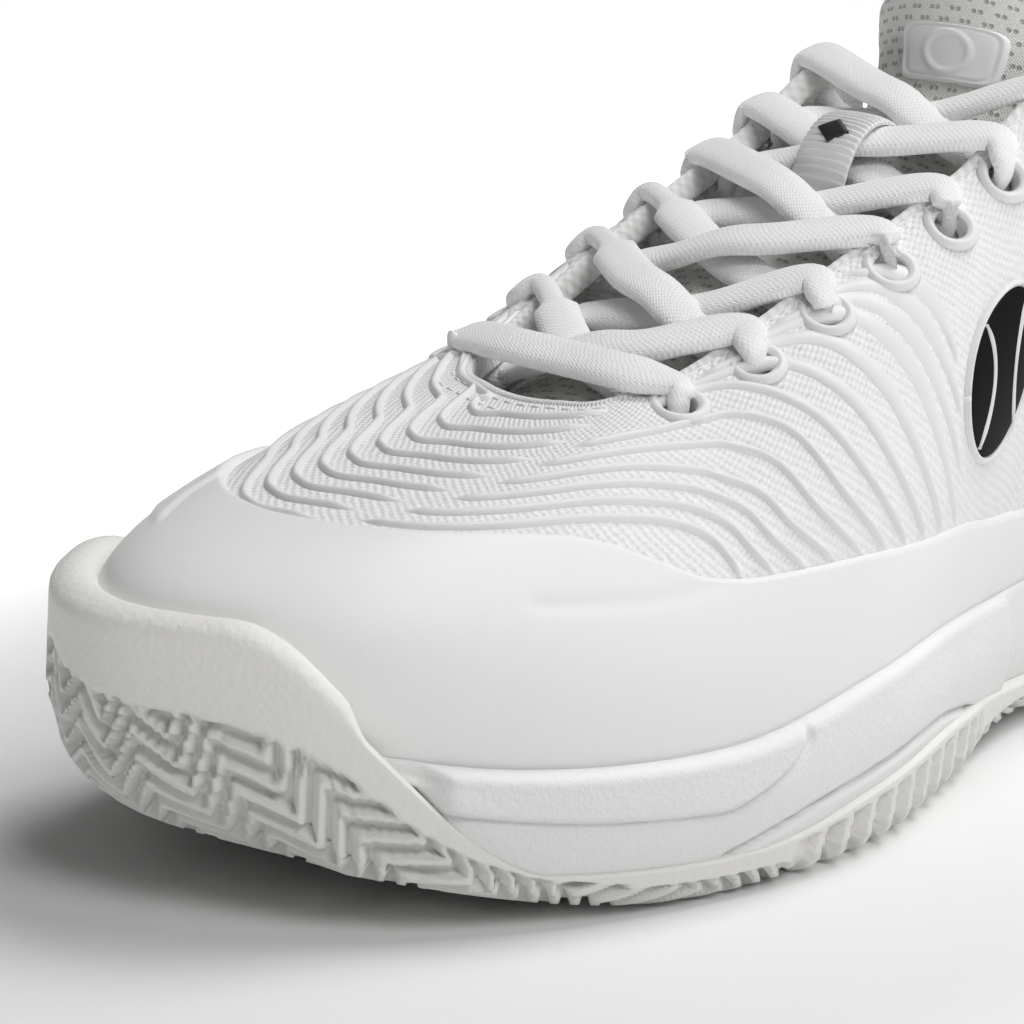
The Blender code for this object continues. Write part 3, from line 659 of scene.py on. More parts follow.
def eyelet_row(side):
    u = np.linspace(7.9, 3.9, 81) if side > 0 else np.linspace(12.1, 16.1, 81)
    v = inset_share(u, 7.5)
    x = skin(u, v)[:, 0]
    at = np.interp(-EYELET_X, -x, u)
    return at, np.interp(-EYELET_X, -x, v)


ROWS = {side: eyelet_row(side) for side in (1, -1)}
rows = np.linspace(0, 1, 150)[:, None]
v = rand_top(ROUND_KNIT)[None] - 0.04 + (1.04 - rand_top(ROUND_KNIT)[None]) * rows
uu = np.broadcast_to(ROUND_KNIT, v.shape)
cloth = skin(uu, v)
across_run = np.cumsum(np.linalg.norm(np.diff(cloth[60], axis=0, append=cloth[60][:1]), axis=-1))
along_run = np.cumsum(np.linalg.norm(np.diff(cloth, axis=0, prepend=cloth[:1]), axis=-1), axis=0)
run = np.stack([np.broadcast_to(across_run, v.shape), along_run - along_run[-1:]], -1)
hem = np.array([skin(ROUND_KNIT, 1.0, h) for h in (-0.35, -1.0, -1.4)])
hem[0] += np.array([0, 0, 0.25])
bm = shaped(np.concatenate([cloth, hem]), closed=True, uv=np.concatenate([run, np.repeat(run[-1:], 3, 0)]),
            flip=False)
HOLE = 3.15
for side in (1, -1):
    for u, v in zip(*ROWS[side]):
        at = Vector(skin(u, v)) * MM
        axis = Vector(skin_normal(u, v))
        inner = [f for f in bm.faces if (f.calc_center_median() - at).length < HOLE * MM]
        bmesh.ops.delete(bm, geom=inner, context="FACES")
        ring = [e for e in bm.edges if e.is_boundary and (e.verts[0].co - at).length < 2 * HOLE * MM]
        for vert in {vert for e in ring for vert in e.verts}:
            out = vert.co - at
            out -= axis * out.dot(axis)
            vert.co += out.normalized() * HOLE * MM - out
        wall = bmesh.ops.extrude_edge_only(bm, edges=ring)["geom"]
        for vert in wall:
            if isinstance(vert, bmesh.types.BMVert):
                vert.co -= axis * 3.4 * MM
knit = Finish("white_knit", (0.87, 0.87, 0.868), 0.82, Sheen_Weight=0.25, Specular_IOR_Level=0.2)
x, y = knit.run()
sway = knit.noise(2.6, 2) * 1.2
a, b = (x + y + sway) * (2 * math.pi / 1.75), (x - y + sway) * (2 * math.pi / 1.75)
mesh_height = knit.maths("SINE", a) * 0.25 + knit.maths("SINE", b) * 0.25 + 0.5
yarn = knit.maths("SINE", (y + sway * 0.3) * (2 * math.pi / 0.45)) * 0.06
loops = mesh_height + yarn + knit.noise(0.7, 3) * 0.35
knit.set("Normal", knit.bump(loops, 0.22))
# Painted shade: where the knit's relief is low its colour is darker.
knit_hollow_shade = knit.node("MapRange", {"interpolation_type": "SMOOTHSTEP"},
                   {0: loops, 1: 0.28, 2: 0.62, 3: 0.0, 4: 1.0})
knit.set("Base Color", knit.mix(knit_hollow_shade, (0.82, 0.82, 0.815, 1), (0.89, 0.89, 0.887, 1)))
piece("knit_upper", bm, knit.material, "shoe", ["upper_knit"])

# ---------------------------------------------------------------- moulded ridges
# Thin film ridges fused on the knit. They sweep round the toe in waves, interlock on the outer side
# of the vamp and fall to the rand on both sides, wider and flatter toward the waist.
def bead_along(bm, points, normals, width, height, sides=6, root=0.35):
    """A rounded bead of a width and height at each point, sunk a little in what it lies on."""
    way = np.gradient(points, axis=0)
    way /= np.linalg.norm(way, axis=1, keepdims=True) + 1e-9
    aside = np.cross(normals, way)
    aside /= np.linalg.norm(aside, axis=1, keepdims=True) + 1e-9
    t = np.linspace(-1, 1, sides + 1)
    over = points[:, None] + aside[:, None] * (width[:, None] * t)[..., None]
    lift = height[:, None] * np.cos(t * math.pi / 2) ** 1.5 - root * np.abs(t) ** 3
    over = over + normals[:, None] * lift[..., None]
    under = over[:, ::-1][:, 1:-1] - normals[:, None] * (lift[:, ::-1][:, 1:-1] + root + 0.3)[..., None]
    part = shaped(np.concatenate([over, under], 1), closed=True, caps=True)
    kept = bpy.data.meshes.new("part")
    part.to_mesh(kept)
    part.free()
    bm.from_mesh(kept)
    bpy.data.meshes.remove(kept)


def on_skin(line, h=0.0):
    return skin(line[:, 0], line[:, 1], h), skin_normal(line[:, 0], line[:, 1])


def ridge(bm, controls, width=1.15, height=0.85, belly=0.0, step=0.05, ends=(1.0, 1.0)):
    """A ridge through control points in u and v, tapering over its ends; a belly widens its middle."""
    line = polyline(controls, step)
    points, normals = on_skin(line)
    run = np.concatenate([[0], np.cumsum(np.linalg.norm(np.diff(points, axis=0), axis=1))])
    taper = smooth(run / (4 * ends[0]) + 0.06) * smooth((run[-1] - run) / (4 * ends[1]) + 0.06)
    middle = np.sin(math.pi * run / run[-1]) ** 2 * belly
    bead_along(bm, points, normals, width * (0.55 + 0.45 * taper) * (1 + middle),
               height * taper * (1 - 0.35 * np.clip(middle, 0, 1)) + 0.02)


FALLS = {0: [(8.0, .61), (7.75, .605), (7.5, .593), (7.3, .565), (7.17, .53), (7.07, .48), (6.99, .425)],
         3: [(8.0, .745), (7.6, .735), (7.25, .70), (7.08, .665), (6.85, .60), (6.65, .50), (6.35, .39)],
         5: [(8.0, .835), (7.5, .835), (7.15, .825), (6.9, .80), (6.6, .70), (6.3, .52), (5.95, .37)],
         6: [(7.55, .93), (7.25, .925), (6.95, .90), (6.72, .835), (6.42, .70), (6.1, .52), (5.75, .355)],
         9: [(6.75, .955), (6.5, .94), (6.25, .91), (6.0, .84), (5.7, .67), (5.45, .50), (5.15, .325)],
         12: [(5.95, .955), (5.85, .93), (5.72, .90), (5.6, .85), (5.48, .78), (5.38, .70), (5.3, .62)]}


def fall(k):
    """The k-th ridge of the outer side, from the throat down to the rand."""
    keys = sorted(FALLS)
    low = max(key for key in keys if key <= k)
    high = min(key for key in keys if key >= k)
    f = 0 if high == low else (k - low) / (high - low)
    return np.array(FALLS[low]) * (1 - f) + np.array(FALLS[high]) * f


def meeting(v):
    """u where the toe ridges and the outer ridges interlock, at a height v."""
    return np.interp(v, [0.60, 0.66, 0.88, 0.97], [9.55, 9.3, 8.1, 7.75])


bm = bmesh.new()
for k in range(13):
    line = fall(k)
    if k <= 5:
        level_v = line[0, 1]
        lead = [(u, level_v) for u in np.arange(meeting(level_v) - 0.12, 8.2, -0.35)]
        line = np.array(lead + list(line)) if lead else line
    ridge(bm, line, belly=0.0 if k < 6 else min(1.5, 0.4 * (k - 5)), height=0.8 if k < 9 else 0.55)
for k in range(9):
    v0 = 0.592 + 0.0452 * k
    end = meeting(v0) + 0.1
    us = np.concatenate([np.arange(13.2, 11.2, -0.4), np.arange(11.15, 10.2, -0.12),
                         np.arange(10.1, end, -0.35), [end]])
    wave = 0.075 * smooth((us - 10.35) / 0.75) - 0.012 * np.exp(-((us - 10.1) / 0.25) ** 2)
    vs = v0 + wave - 0.06 * smooth((us - 12.0) / 1.2)
    keep = vs < 0.985
    if keep.sum() > 3:
        ridge(bm, np.stack([us[keep], vs[keep]], -1), ends=(0.6, 1.2))
for k in range(2, 12):
    line = fall(k)
    line[:, 0] = 20 - line[:, 0] + 0.12
    ridge(bm, line, belly=0.0 if k < 6 else min(1.5, 0.4 * (k - 5)))
RIM_RADIUS, RIM_WIDE, RIM_HIGH, RIM_GAP = 4.4, 1.3, 0.7, 48   # gap in degrees, open to the throat
for side in (1, -1):
    for u, v in zip(*ROWS[side]):
        at, n = skin(u, v), skin_normal(u, v)
        edge = skin(u, 1.0) - at
        edge /= np.linalg.norm(edge)
        side_way = np.cross(n, edge)
        a = np.radians(np.linspace(RIM_GAP, 360 - RIM_GAP, 34))
        ring = at + RIM_RADIUS * (np.cos(a)[:, None] * edge + np.sin(a)[:, None] * side_way * 0.95)
        tails = [ring[0] + edge * d for d in (2.6, 1.3)], [ring[-1] + edge * d for d in (1.3, 2.6)]
        ring = np.concatenate([tails[0], ring, tails[1]])
        size = smooth(np.minimum(np.arange(len(ring)), np.arange(len(ring))[::-1]) / 3 + 0.15)
        bead_along(bm, ring, np.broadcast_to(n, ring.shape), RIM_WIDE * size, RIM_HIGH * size)
tpu = Finish("ridge_film", (0.89, 0.89, 0.888), 0.42, Specular_IOR_Level=0.4)
tpu.set("Normal", tpu.bump(tpu.noise(0.6, 2), 0.03))
tpu.set("Base Color", tpu.mix(tpu.noise(6, 2), (0.82, 0.82, 0.82, 1), (0.79, 0.79, 0.79, 1)))
piece("moulded_ridges", bm, tpu.material, "shoe")

# ---------------------------------------------------------------- tongue
# A padded mesh tongue, faced with perforated fabric, that stands free above the last lace.
TONGUE = np.array([
    (84, 57.5, 20, 12), (72, 62.0, 26, 12), (60, 65.0, 28.5, 12), (45, 69.1, 29.5, 12),
    (28, 77.2, 29, 12.5), (10, 86.0, 27.5, 12.5), (-10, 96.0, 25.5, 13), (-28, 104.2, 23, 14),
    (-42, 111.5, 20.6, 15), (-47, 118, 21.6, 16), (-50, 125, 24, 17), (-52.5, 131, 24.5, 17),
    (-54.5, 134.8, 21, 17), (-55.5, 137, 12.5, 17)], float)


def tongue_rows(k, q):
    i = np.clip(np.floor(q).astype(int), 0, len(TONGUE) - 2)
    f = q - i
    a, b, c, d = (TONGUE[np.clip(i + m, 0, len(TONGUE) - 1), k] for m in (-1, 0, 1, 2))
    return 0.5 * (2*b + (c - a)*f + (2*a - 5*b + 4*c - d)*f**2 + (3*b - a - 3*c + d)*f**3)


def tongue(s, t, h=0.0):
    """Face of the tongue: s along it in rows of the table, t across -1 to 1, h out."""
    s, t = np.broadcast_arrays(np.asarray(s, float), np.asarray(t, float))
    x, z = tongue_rows(0, s), tongue_rows(1, s)
    lo, hi = np.clip(s - 0.05, 0, 13), np.clip(s + 0.05, 0, 13)
    dx, dz = tongue_rows(0, hi) - tongue_rows(0, lo), tongue_rows(1, hi) - tongue_rows(1, lo)
    size = np.hypot(dx, dz)
    half = tongue_rows(2, s)
    lean = tongue_rows(3, s) * 0.001 * (t * half) ** 2 - h
    middle = -6 + 6.6 * smooth((60 - x) / 110) - 3.5 * smooth((s - 8.6) / 3)
    return np.stack([x - dz / size * lean, middle + t * half, z + dx / size * lean], -1)


def round_pad(s, puff=0.5):
    """Rings of a pad with rounded edges: rows along the tongue, columns round its section."""
    a = np.linspace(0, 2 * math.pi, 72, endpoint=False)[None]
    s = s[:, None]
    squareness = 1 / 1.6
    wide = np.sign(np.cos(a)) * np.abs(np.cos(a)) ** squareness
    thick = np.sign(np.sin(a)) * np.abs(np.sin(a)) ** squareness
    end = np.sqrt(np.clip(1 - smooth((s - 12.2) / 0.9) * 0.97, 0, 1)) * np.sqrt(0.05 + 0.95 * smooth(s / 0.5))
    half = (3.55 + puff * smooth((s - 8.3) / 1.5)) * end
    return tongue(s, wide, -3.35 + half * thick)


tongue_s = np.concatenate([np.linspace(0, 8, 66), np.linspace(8.1, 13, 52)])
pad = round_pad(tongue_s)
length_run = np.concatenate([[0], np.cumsum(np.linalg.norm(np.diff(pad[:, 18], axis=0), axis=1))])
girth = np.concatenate([[0], np.cumsum(np.linalg.norm(np.diff(pad[60], axis=0), axis=1))])
run = np.stack(np.broadcast_arrays(girth[None], length_run[:, None]), -1)
bm = shaped(pad, closed=True, caps=True, uv=run)
tongue_cloth = Finish("tongue_mesh", (0.84, 0.84, 0.82), 0.88, Sheen_Weight=0.3, Specular_IOR_Level=0.15)
x, y = tongue_cloth.run()


def pairs_of_holes(cloth, x, y, pitch_x, pitch_y, radius):
    """1 in the middle of pairs of punched holes set out in staggered rows, falling to 0."""
    rank = cloth.maths("FLOOR", y / pitch_y)
    stagger = cloth.maths("MODULO", rank, 2.0) * 0.5
    px = cloth.maths("FRACT", x / pitch_x + stagger + 50.0) - 0.5
    py = (cloth.maths("FRACT", y / pitch_y + 50.0) - 0.5) * pitch_y
    px = (cloth.maths("ABSOLUTE", px) * pitch_x) - radius * 1.25
    far = cloth.maths("SQRT", px * px + py * py)
    return cloth.node("MapRange", {"interpolation_type": "SMOOTHSTEP"},
                      {0: far, 1: radius * 1.15, 2: radius * 0.6})


def grid_of_dots(cloth, x, y, pitch_x, pitch_y):
    """A wave over both ways of the cloth, -1 to 1."""
    return cloth.maths("SINE", x * (2 * math.pi / pitch_x)) * cloth.maths("SINE", y * (2 * math.pi / pitch_y))


holes = pairs_of_holes(tongue_cloth, x, y, 4.2, 2.3, 0.48)
knitting = grid_of_dots(tongue_cloth, x, y, 0.7, 0.6)
fuzz = tongue_cloth.noise(0.8, 3)
tongue_cloth.set("Normal", tongue_cloth.bump(knitting * 0.18 + fuzz * 0.4 - holes * 0.9 + 0.5, 0.4))
# The punched holes are painted dark, as painted shade inside them.
tongue_cloth.set("Base Color", tongue_cloth.mix(holes, (0.85, 0.85, 0.825, 1), (0.50, 0.50, 0.47, 1)))
tongue_pad = piece("tongue_pad", bm, tongue_cloth.material, None)
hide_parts("tongue_body", "tongue_top", "tongue_lining", "tongue_top_lining")

# ---------------------------------------------------------------- lace
# One flat oval braid. It bars the first eyelets, then each end crosses from side to side, going
# down through its eyelet each time, and both ends are tucked inside by the ankle.
def at_eyelet(side, k, inward, h):
    u, v = ROWS[side][0][k], ROWS[side][1][k]
    p, way = skin(u, v), skin(u, 1.0) - skin(u, v)
    return p + way / np.linalg.norm(way) * inward + skin_normal(u, v) * h


def over_throat(x, across, h):
    s = np.interp(-x, -TONGUE[:, 0], np.arange(len(TONGUE)))
    return tongue(s, 0.0, h) + np.array([0, across, 0])


def down_the_eyelet(side, k):
    return [at_eyelet(side, k, 3.0, 1.8), at_eyelet(side, k, 0.9, 0.5), at_eyelet(side, k, 0, -1.5),
            at_eyelet(side, k, 0, -3.4), at_eyelet(side, k, 0.9, -5.8), at_eyelet(side, k, 3.2, -7.0)]


TAIL = [(-47, 23.6, 103), (-45, 24, 90), (-36, 24.4, 70), (-24, 24.6, 50), (-10, 25, 37),
        (8, 25, 31.0), (26, 25, 29.0), (42, 24, 28.5)]


def strand(side):
    """From under the first eyelet of one side to the tucked end."""
    points = []
    for k in range(EYELETS - 1):
        x = (EYELET_X[k] + EYELET_X[k + 1]) / 2
        below = (side > 0) == (k % 2 == 0)
        points += [at_eyelet(side, k, 8.0, -6.3), over_throat(x + 3, side * 9, 3.0 if below else 4.4),
                   over_throat(x, 0, 3.0 if below else 7.2),
                   over_throat(x - 3, -side * 9, 4.4 if below else 7.4)]
        side = -side
        points.append(at_eyelet(side, k + 1, 8.0, 1.4))
        points += down_the_eyelet(side, k + 1)
    points.pop()
    return points + [np.array(p, float) * (1, side, 1) + (0, 1.1, 0) for p in TAIL]


bar = [over_throat(51, side * 12, 8.8) for side in (1, 0, -1)]
route = np.array((down_the_eyelet(1, 0) + strand(1))[::-1] + bar + down_the_eyelet(-1, 0) + strand(-1))
line = polyline(route, 0.1)
for _ in range(3):
    line[1:-1] = line[1:-1] * 0.5 + (line[:-2] + line[2:]) * 0.25
way = np.gradient(line, axis=0)
way /= np.linalg.norm(way, axis=1, keepdims=True)
throat_way = np.array([0.9, 0.0, -0.43])
aside = throat_way - way * (way @ throat_way)[:, None]
aside /= np.linalg.norm(aside, axis=1, keepdims=True)
for _ in range(12):
    aside[1:-1] = aside[1:-1] * 0.5 + (aside[:-2] + aside[2:]) * 0.25
    aside -= way * (aside * way).sum(1, keepdims=True)
    aside /= np.linalg.norm(aside, axis=1, keepdims=True)
off = np.cross(aside, way)
eyes = np.array([at_eyelet(side, k, 0.3, -3.5) for side in (1, -1) for k in range(EYELETS)])
to_eye = np.linalg.norm(line[:, None] - eyes[None], axis=-1).min(1)
squeeze = np.maximum(smooth((6.4 - to_eye) / 3.6), smooth((10.5 - to_eye) / 7) * smooth(line[:, 1] / 8))
hidden_end = smooth((line[:, 2] < 100) * 1.0 * (np.abs(line[:, 1]) > 23) * (line[:, 0] < 45))
half_wide = 4.2 - 2.0 * squeeze - 2.0 * hidden_end
half_thick = 1.75 - 0.25 * squeeze
a = np.linspace(0, 2 * math.pi, 26, endpoint=False)[None]
cos, sin = np.cos(a), np.sin(a)
section_w = np.sign(cos) * np.abs(cos) ** 0.85
section_h = np.sign(sin) * np.abs(sin) ** 0.85
braid = (line[:, None] + aside[:, None] * (half_wide[:, None] * section_w)[..., None]
         + off[:, None] * (half_thick[:, None] * section_h)[..., None])
run_along = np.concatenate([[0], np.cumsum(np.linalg.norm(np.diff(line, axis=0), axis=1))])
run = np.stack(np.broadcast_arrays(section_w * 3.75, run_along[:, None]), -1)
lace_cloth = Finish("white_lace", (0.93, 0.93, 0.925), 0.8, Sheen_Weight=0.5, Specular_IOR_Level=0.2)
x, y = lace_cloth.run()
slant = lace_cloth.maths("ABSOLUTE", x)
ribs = lace_cloth.maths("SINE", (y + slant * 0.55) * (2 * math.pi / 0.95))
strands = lace_cloth.maths("SINE", x * (2 * math.pi / 0.72))
selvedge = lace_cloth.node("MapRange", {"interpolation_type": "SMOOTHSTEP"}, {0: slant, 1: 2.9, 2: 3.15})
weave = ribs * strands * 0.28 + ribs * 0.14 + lace_cloth.noise(0.9, 3) * 0.3 + 0.4
lace_cloth.set("Normal", lace_cloth.bump(weave - selvedge * (1 - selvedge) * 1.2, 0.15))
# The weave's grooves are painted slightly darker, as painted shade.
lace_cloth.set("Base Color", lace_cloth.mix(lace_cloth.maths("MULTIPLY", weave, 1.2), (0.91, 0.91, 0.905, 1),
                                            (0.95, 0.95, 0.947, 1)))
piece("lace_braid", shaped(braid, closed=True, caps=True, uv=run), lace_cloth.material, "shoe",
      ["lace"])

# ---------------------------------------------------------------- lace keeper
# A ribbed webbing bridge sewn across the tongue, with a small woven diamond on its crown.
FOOT, ARCH = 0.3, 11.2                   # height of the bridge's ends, and its rise over the laces
BRIDGE_START, BRIDGE_SPAN = 6.02, 1.16   # along the tongue, in rows
BRIDGE_HALF, RIBS = 0.235, 22


def bridge(t):
    return FOOT + ARCH * np.clip(np.sin(math.pi * t), 0, 1) ** 0.6


t = np.linspace(0, 1, 281)
lift = bridge(t)
rib_h = 0.22 * np.sin(t * 2 * math.pi * RIBS)
bridge_s = BRIDGE_START + BRIDGE_SPAN * t
edges = np.array([-1, -0.97, -0.9, -0.6, -0.3, 0, 0.3, 0.6, 0.9, 0.97, 1])
top_face = tongue(bridge_s[:, None], BRIDGE_HALF * edges[None],
                  (lift + rib_h)[:, None] + 0.45 * (1 - edges ** 8)[None])
low_face = tongue(bridge_s[:, None], BRIDGE_HALF * edges[None], (lift - 0.9)[:, None] + 0 * edges[None])
webbing = Finish("white_webbing", (0.88, 0.88, 0.875), 0.75, Sheen_Weight=0.3, Specular_IOR_Level=0.2)
ring = np.concatenate([top_face, low_face[:, ::-1]], 1)
webbing.set("Normal", webbing.bump(webbing.noise(0.5, 3), 0.12))
webbing.set("Base Color", webbing.mix(webbing.noise(4, 2), (0.90, 0.90, 0.895, 1), (0.86, 0.86, 0.855, 1)))
piece("keeper_webbing", shaped(ring, closed=True, caps=True), webbing.material, "shoe",
      ["lace_keeper"])
dark = Finish("woven_black", (0.02, 0.02, 0.022), 0.6)
dark.set("Normal", dark.bump(dark.noise(0.3, 2), 0.05))
bm = bmesh.new()
bmesh.ops.create_circle(bm, cap_ends=True, segments=4, radius=1)
flat_part = bmesh.ops.extrude_face_region(bm, geom=bm.faces[:])["geom"]
bmesh.ops.translate(bm, vec=(0, 0, 1), verts=[g for g in flat_part if isinstance(g, bmesh.types.BMVert)])
bmesh.ops.subdivide_edges(bm, edges=bm.edges[:], cuts=4, use_grid_fill=True)
for vert in bm.verts:
    s_here = 6.42 + 0.11 * vert.co.x
    high = float(bridge((s_here - BRIDGE_START) / BRIDGE_SPAN)) + 0.5 + 0.5 * vert.co.z
    vert.co = Vector(tongue(s_here, 0.14 * vert.co.y, high)) * MM
bmesh.ops.recalc_face_normals(bm, faces=bm.faces[:])
piece("keeper_diamond", bm, dark.material, "shoe")

# ---------------------------------------------------------------- tongue label
# A smooth film patch with a pressed border and a plain raised ring, near the tongue's top.
g = np.linspace(-1, 1, 49)
gb, ga = np.meshgrid(g, g)
edge_share = np.maximum(np.abs(ga), np.abs(gb))
power = 6
shrink = edge_share / np.maximum((np.abs(ga) ** power + np.abs(gb) ** power) ** (1 / power), 1e-6)
la, lb = ga * shrink, gb * shrink
border = np.exp(-((edge_share - 0.86) / 0.03) ** 2)
ring_far = np.hypot(la * 0.62, lb * 1.0)
ring_up = smooth((0.34 - np.abs(ring_far - 0.42) * 4) / 0.2) * 0.35
face_h = 0.62 + 0.75 * np.sqrt(np.clip((1 - edge_share) / 0.05, 0, 1)) - 0.35 * border + ring_up
LABEL_AT, LABEL_LONG, LABEL_WIDE = 9.55, 0.77, 0.51
label_top = tongue(LABEL_AT + LABEL_LONG * la, LABEL_WIDE * lb, face_h)
label_low = tongue(LABEL_AT + LABEL_LONG * la, LABEL_WIDE * lb, 0.2 + 0 * face_h)


def closed_pair(top, low):
    """A closed pad from two like grids, joined along their edges."""
    bm = bmesh.new()
    row, col = sheet(bm, top.shape[0], top.shape[1], False)
    new = bmesh.ops.extrude_face_region(bm, geom=bm.faces[:])["geom"]
    for v in bm.verts:
        v.co = Vector(low[v[row], v[col]]) * MM
    for v in new:
        if isinstance(v, bmesh.types.BMVert):
            v.co = Vector(top[v[row], v[col]]) * MM
    bmesh.ops.recalc_face_normals(bm, faces=bm.faces[:])
    if bm.calc_volume(signed=True) < 0:
        bmesh.ops.reverse_faces(bm, faces=bm.faces[:])
    return bm


piece("label_patch", closed_pair(label_top, label_low), film.material, "tongue_free_end",
      ["tongue_label"])

# ---------------------------------------------------------------- side badge
# A black moulded badge in a white rim, with two curved seams like those of a ball.
BADGE_AT, BADGE_SIZE = (4.84, 0.555), (0.36, 0.135)
disc = edge_share / np.maximum(np.hypot(ga, gb), 1e-6)
da, db = gb * disc, ga * disc
face_h = 0.35 + 0.85 * np.sqrt(np.clip(1 - edge_share ** 2, 0, 1)) ** 0.5 - 0.1


def on_badge(a, b, h):
    return skin(BADGE_AT[0] + BADGE_SIZE[0] * a, BADGE_AT[1] + BADGE_SIZE[1] * b, h)


black = Finish("black_badge", (0.006, 0.006, 0.006), 0.6, Specular_IOR_Level=0.12)
black.set("Normal", black.bump(black.noise(0.4, 2), 0.03))
badge = closed_pair(on_badge(da, db, face_h), on_badge(da, db, 0.05 + 0 * face_h))
piece("badge_disc", badge, black.material, "shoe", ["side_badge"])
bm = bmesh.new()
a = np.radians(np.linspace(0, 360, 73))
rim_line = on_badge(1.04 * np.cos(a), 1.04 * np.sin(a), 0.2)
rim_n = skin_normal(BADGE_AT[0] + BADGE_SIZE[0] * np.cos(a), BADGE_AT[1] + BADGE_SIZE[1] * np.sin(a))
bead_along(bm, rim_line, rim_n, np.full(73, 0.75), np.full(73, 1.0))
for way_round in (1, -1):
    b = np.linspace(-0.78, 0.78, 33)
    a = way_round * (0.33 + 0.42 * b ** 2)
    seam_n = skin_normal(BADGE_AT[0] + BADGE_SIZE[0] * a, BADGE_AT[1] + BADGE_SIZE[1] * b)
    tip = smooth((0.8 - np.abs(b)) / 0.25)
    bead_along(bm, on_badge(a, b, 1.0), seam_n, 0.25 + 0.5 * tip, 0.15 + 0.25 * tip)
piece("badge_seams", bm, tpu.material, "shoe")

# ---------------------------------------------------------------- lining
# Mesh lining glued inside the upper, from the sole to the throat edge.
def padding(u, v):
    """Inner face of the collar padding: swollen below the top edge."""
    ends = smooth((3.9 - np.abs(u)) / 0.9)
    return -3.4 - 6.5 * ends * np.exp(-((v - 0.84) / 0.16) ** 2)


ROUND_LINING = spaced((0, 20, 0.08))
folded = np.where(ROUND_LINING > 10, 20 - ROUND_LINING, ROUND_LINING)
lining_top = 0.60 + 0.385 * smooth((folded - 3.2) / 0.6)
v = 0.05 + (lining_top[None] - 0.05) * np.linspace(0, 1, 50)[:, None]
uu = np.broadcast_to(ROUND_LINING, v.shape)
inner_mesh = skin(uu, v, -4.1)
close_up = skin(ROUND_LINING, lining_top, -2.6)
run = np.stack([uu * 28, v * 95], -1)
mesh_lining = Finish("white_lining", (0.84, 0.84, 0.83), 0.9, Sheen_Weight=0.2, Specular_IOR_Level=0.15)
x, y = mesh_lining.run()
dots = grid_of_dots(mesh_lining, x, y, 1.6, 1.6)
mesh_lining.set("Normal", mesh_lining.bump(dots * 0.3 + mesh_lining.noise(0.9, 3) * 0.5 + 0.3, 0.25))
# The low parts of the mesh's dot relief are painted darker, as painted shade in its pores.
mesh_lining.set("Base Color", mesh_lining.mix(dots * 0.5 + 0.5, (0.72, 0.72, 0.71, 1), (0.86, 0.86, 0.85, 1)))
piece("lining_mesh", shaped(np.concatenate([inner_mesh, close_up[None]]), closed=True,
                            uv=np.concatenate([run, run[-1:]]), flip=True), mesh_lining.material, "shoe",
      ["vamp_lining"])

# ---------------------------------------------------------------- throat binding
# The lining's edge turned over the knit along both sides of the throat and glued down.
bind_u = np.linspace(3.85, 16.15, 320)
edge_at, edge_n = skin(bind_u, 0.995, -2.1), skin_normal(bind_u, np.full_like(bind_u, 0.98))
edge_up = skin(bind_u, 1.0) - skin(bind_u, 0.96)
edge_up /= np.linalg.norm(edge_up, axis=1, keepdims=True)
a = np.linspace(0, 2 * math.pi, 20, endpoint=False)[None, :, None]
round_in = np.sign(np.cos(a)) * np.abs(np.cos(a)) ** 0.7
round_up = np.sign(np.sin(a)) * np.abs(np.sin(a)) ** 0.7
tape = edge_at[:, None] + edge_n[:, None] * 2.5 * round_in + edge_up[:, None] * 1.15 * round_up
run = np.stack(np.broadcast_arrays(np.linspace(0, 7, 20)[None], (bind_u * 24)[:, None]), -1)
piece("throat_binding", shaped(tape, closed=True, caps=True, uv=run), mesh_lining.material, "shoe")

# ---------------------------------------------------------------- collar
# Foam padding wrapped in lining, thickest under the ankle and rolled over the top edge.
def collar_section(u):
    """Points round the padding's section at each u, from its outer foot over the top and back."""
    v_out = np.concatenate([np.linspace(0.56, 0.97, 20), [0.985, 0.995]])
    outer = [skin(u, v, -1.75 if v < 0.98 else -1.6) for v in v_out]
    top_z = np.array([0, 0, 1.0])
    mid = [skin(u, 1.0, h) + top_z * z for h, z in ((0.1, 0.35), (-0.5, 1.5), (-1.9, 2.1), (-3.4, 1.8))]
    v_in = np.concatenate([np.linspace(0.975, 0.56, 30), [0.54]])
    back = [skin(u, v, padding(u, np.full_like(u, v)) - 0.9 + (0.6 if v < 0.55 else 0)) for v in v_in]
    return np.array(outer + mid + back)


collar_u = np.linspace(-3.75, 3.75, 130)
section = collar_section(collar_u).transpose(1, 0, 2)
tip = smooth((3.78 - np.abs(collar_u)) / 0.25)[:, None, None] * 0.9 + 0.1
centre = section.mean(1, keepdims=True)
centre = centre + (section[:, 20:21] - centre) * 0.5
section = centre + (section - centre) * np.where(np.abs(collar_u)[:, None, None] > 3.5, tip, 1.0)
girth = np.concatenate([[0], np.cumsum(np.linalg.norm(np.diff(section[65], axis=0), axis=1))])
run = np.stack(np.broadcast_arrays(girth[None], (collar_u * 24)[:, None]), -1)
collar_cloth = Finish("collar_cloth", (0.86, 0.86, 0.85), 0.9, Sheen_Weight=0.3, Specular_IOR_Level=0.15)
x, y = collar_cloth.run()
dots = grid_of_dots(collar_cloth, x, y, 1.3, 1.3)
collar_cloth.set("Normal", collar_cloth.bump(dots * 0.25 + collar_cloth.noise(0.8, 3) * 0.5 + 0.3, 0.22))
# The low parts of the dot relief are painted darker, as painted shade.
collar_cloth.set("Base Color", collar_cloth.mix(dots * 0.5 + 0.5, (0.77, 0.77, 0.76, 1),
                                                (0.87, 0.87, 0.86, 1)))
collar_pad = piece("collar_pad", shaped(section, closed=True, caps=True, uv=run), collar_cloth.material, None,
                   ["collar_lining", "collar_foam"])
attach(collar_pad, "shoe")

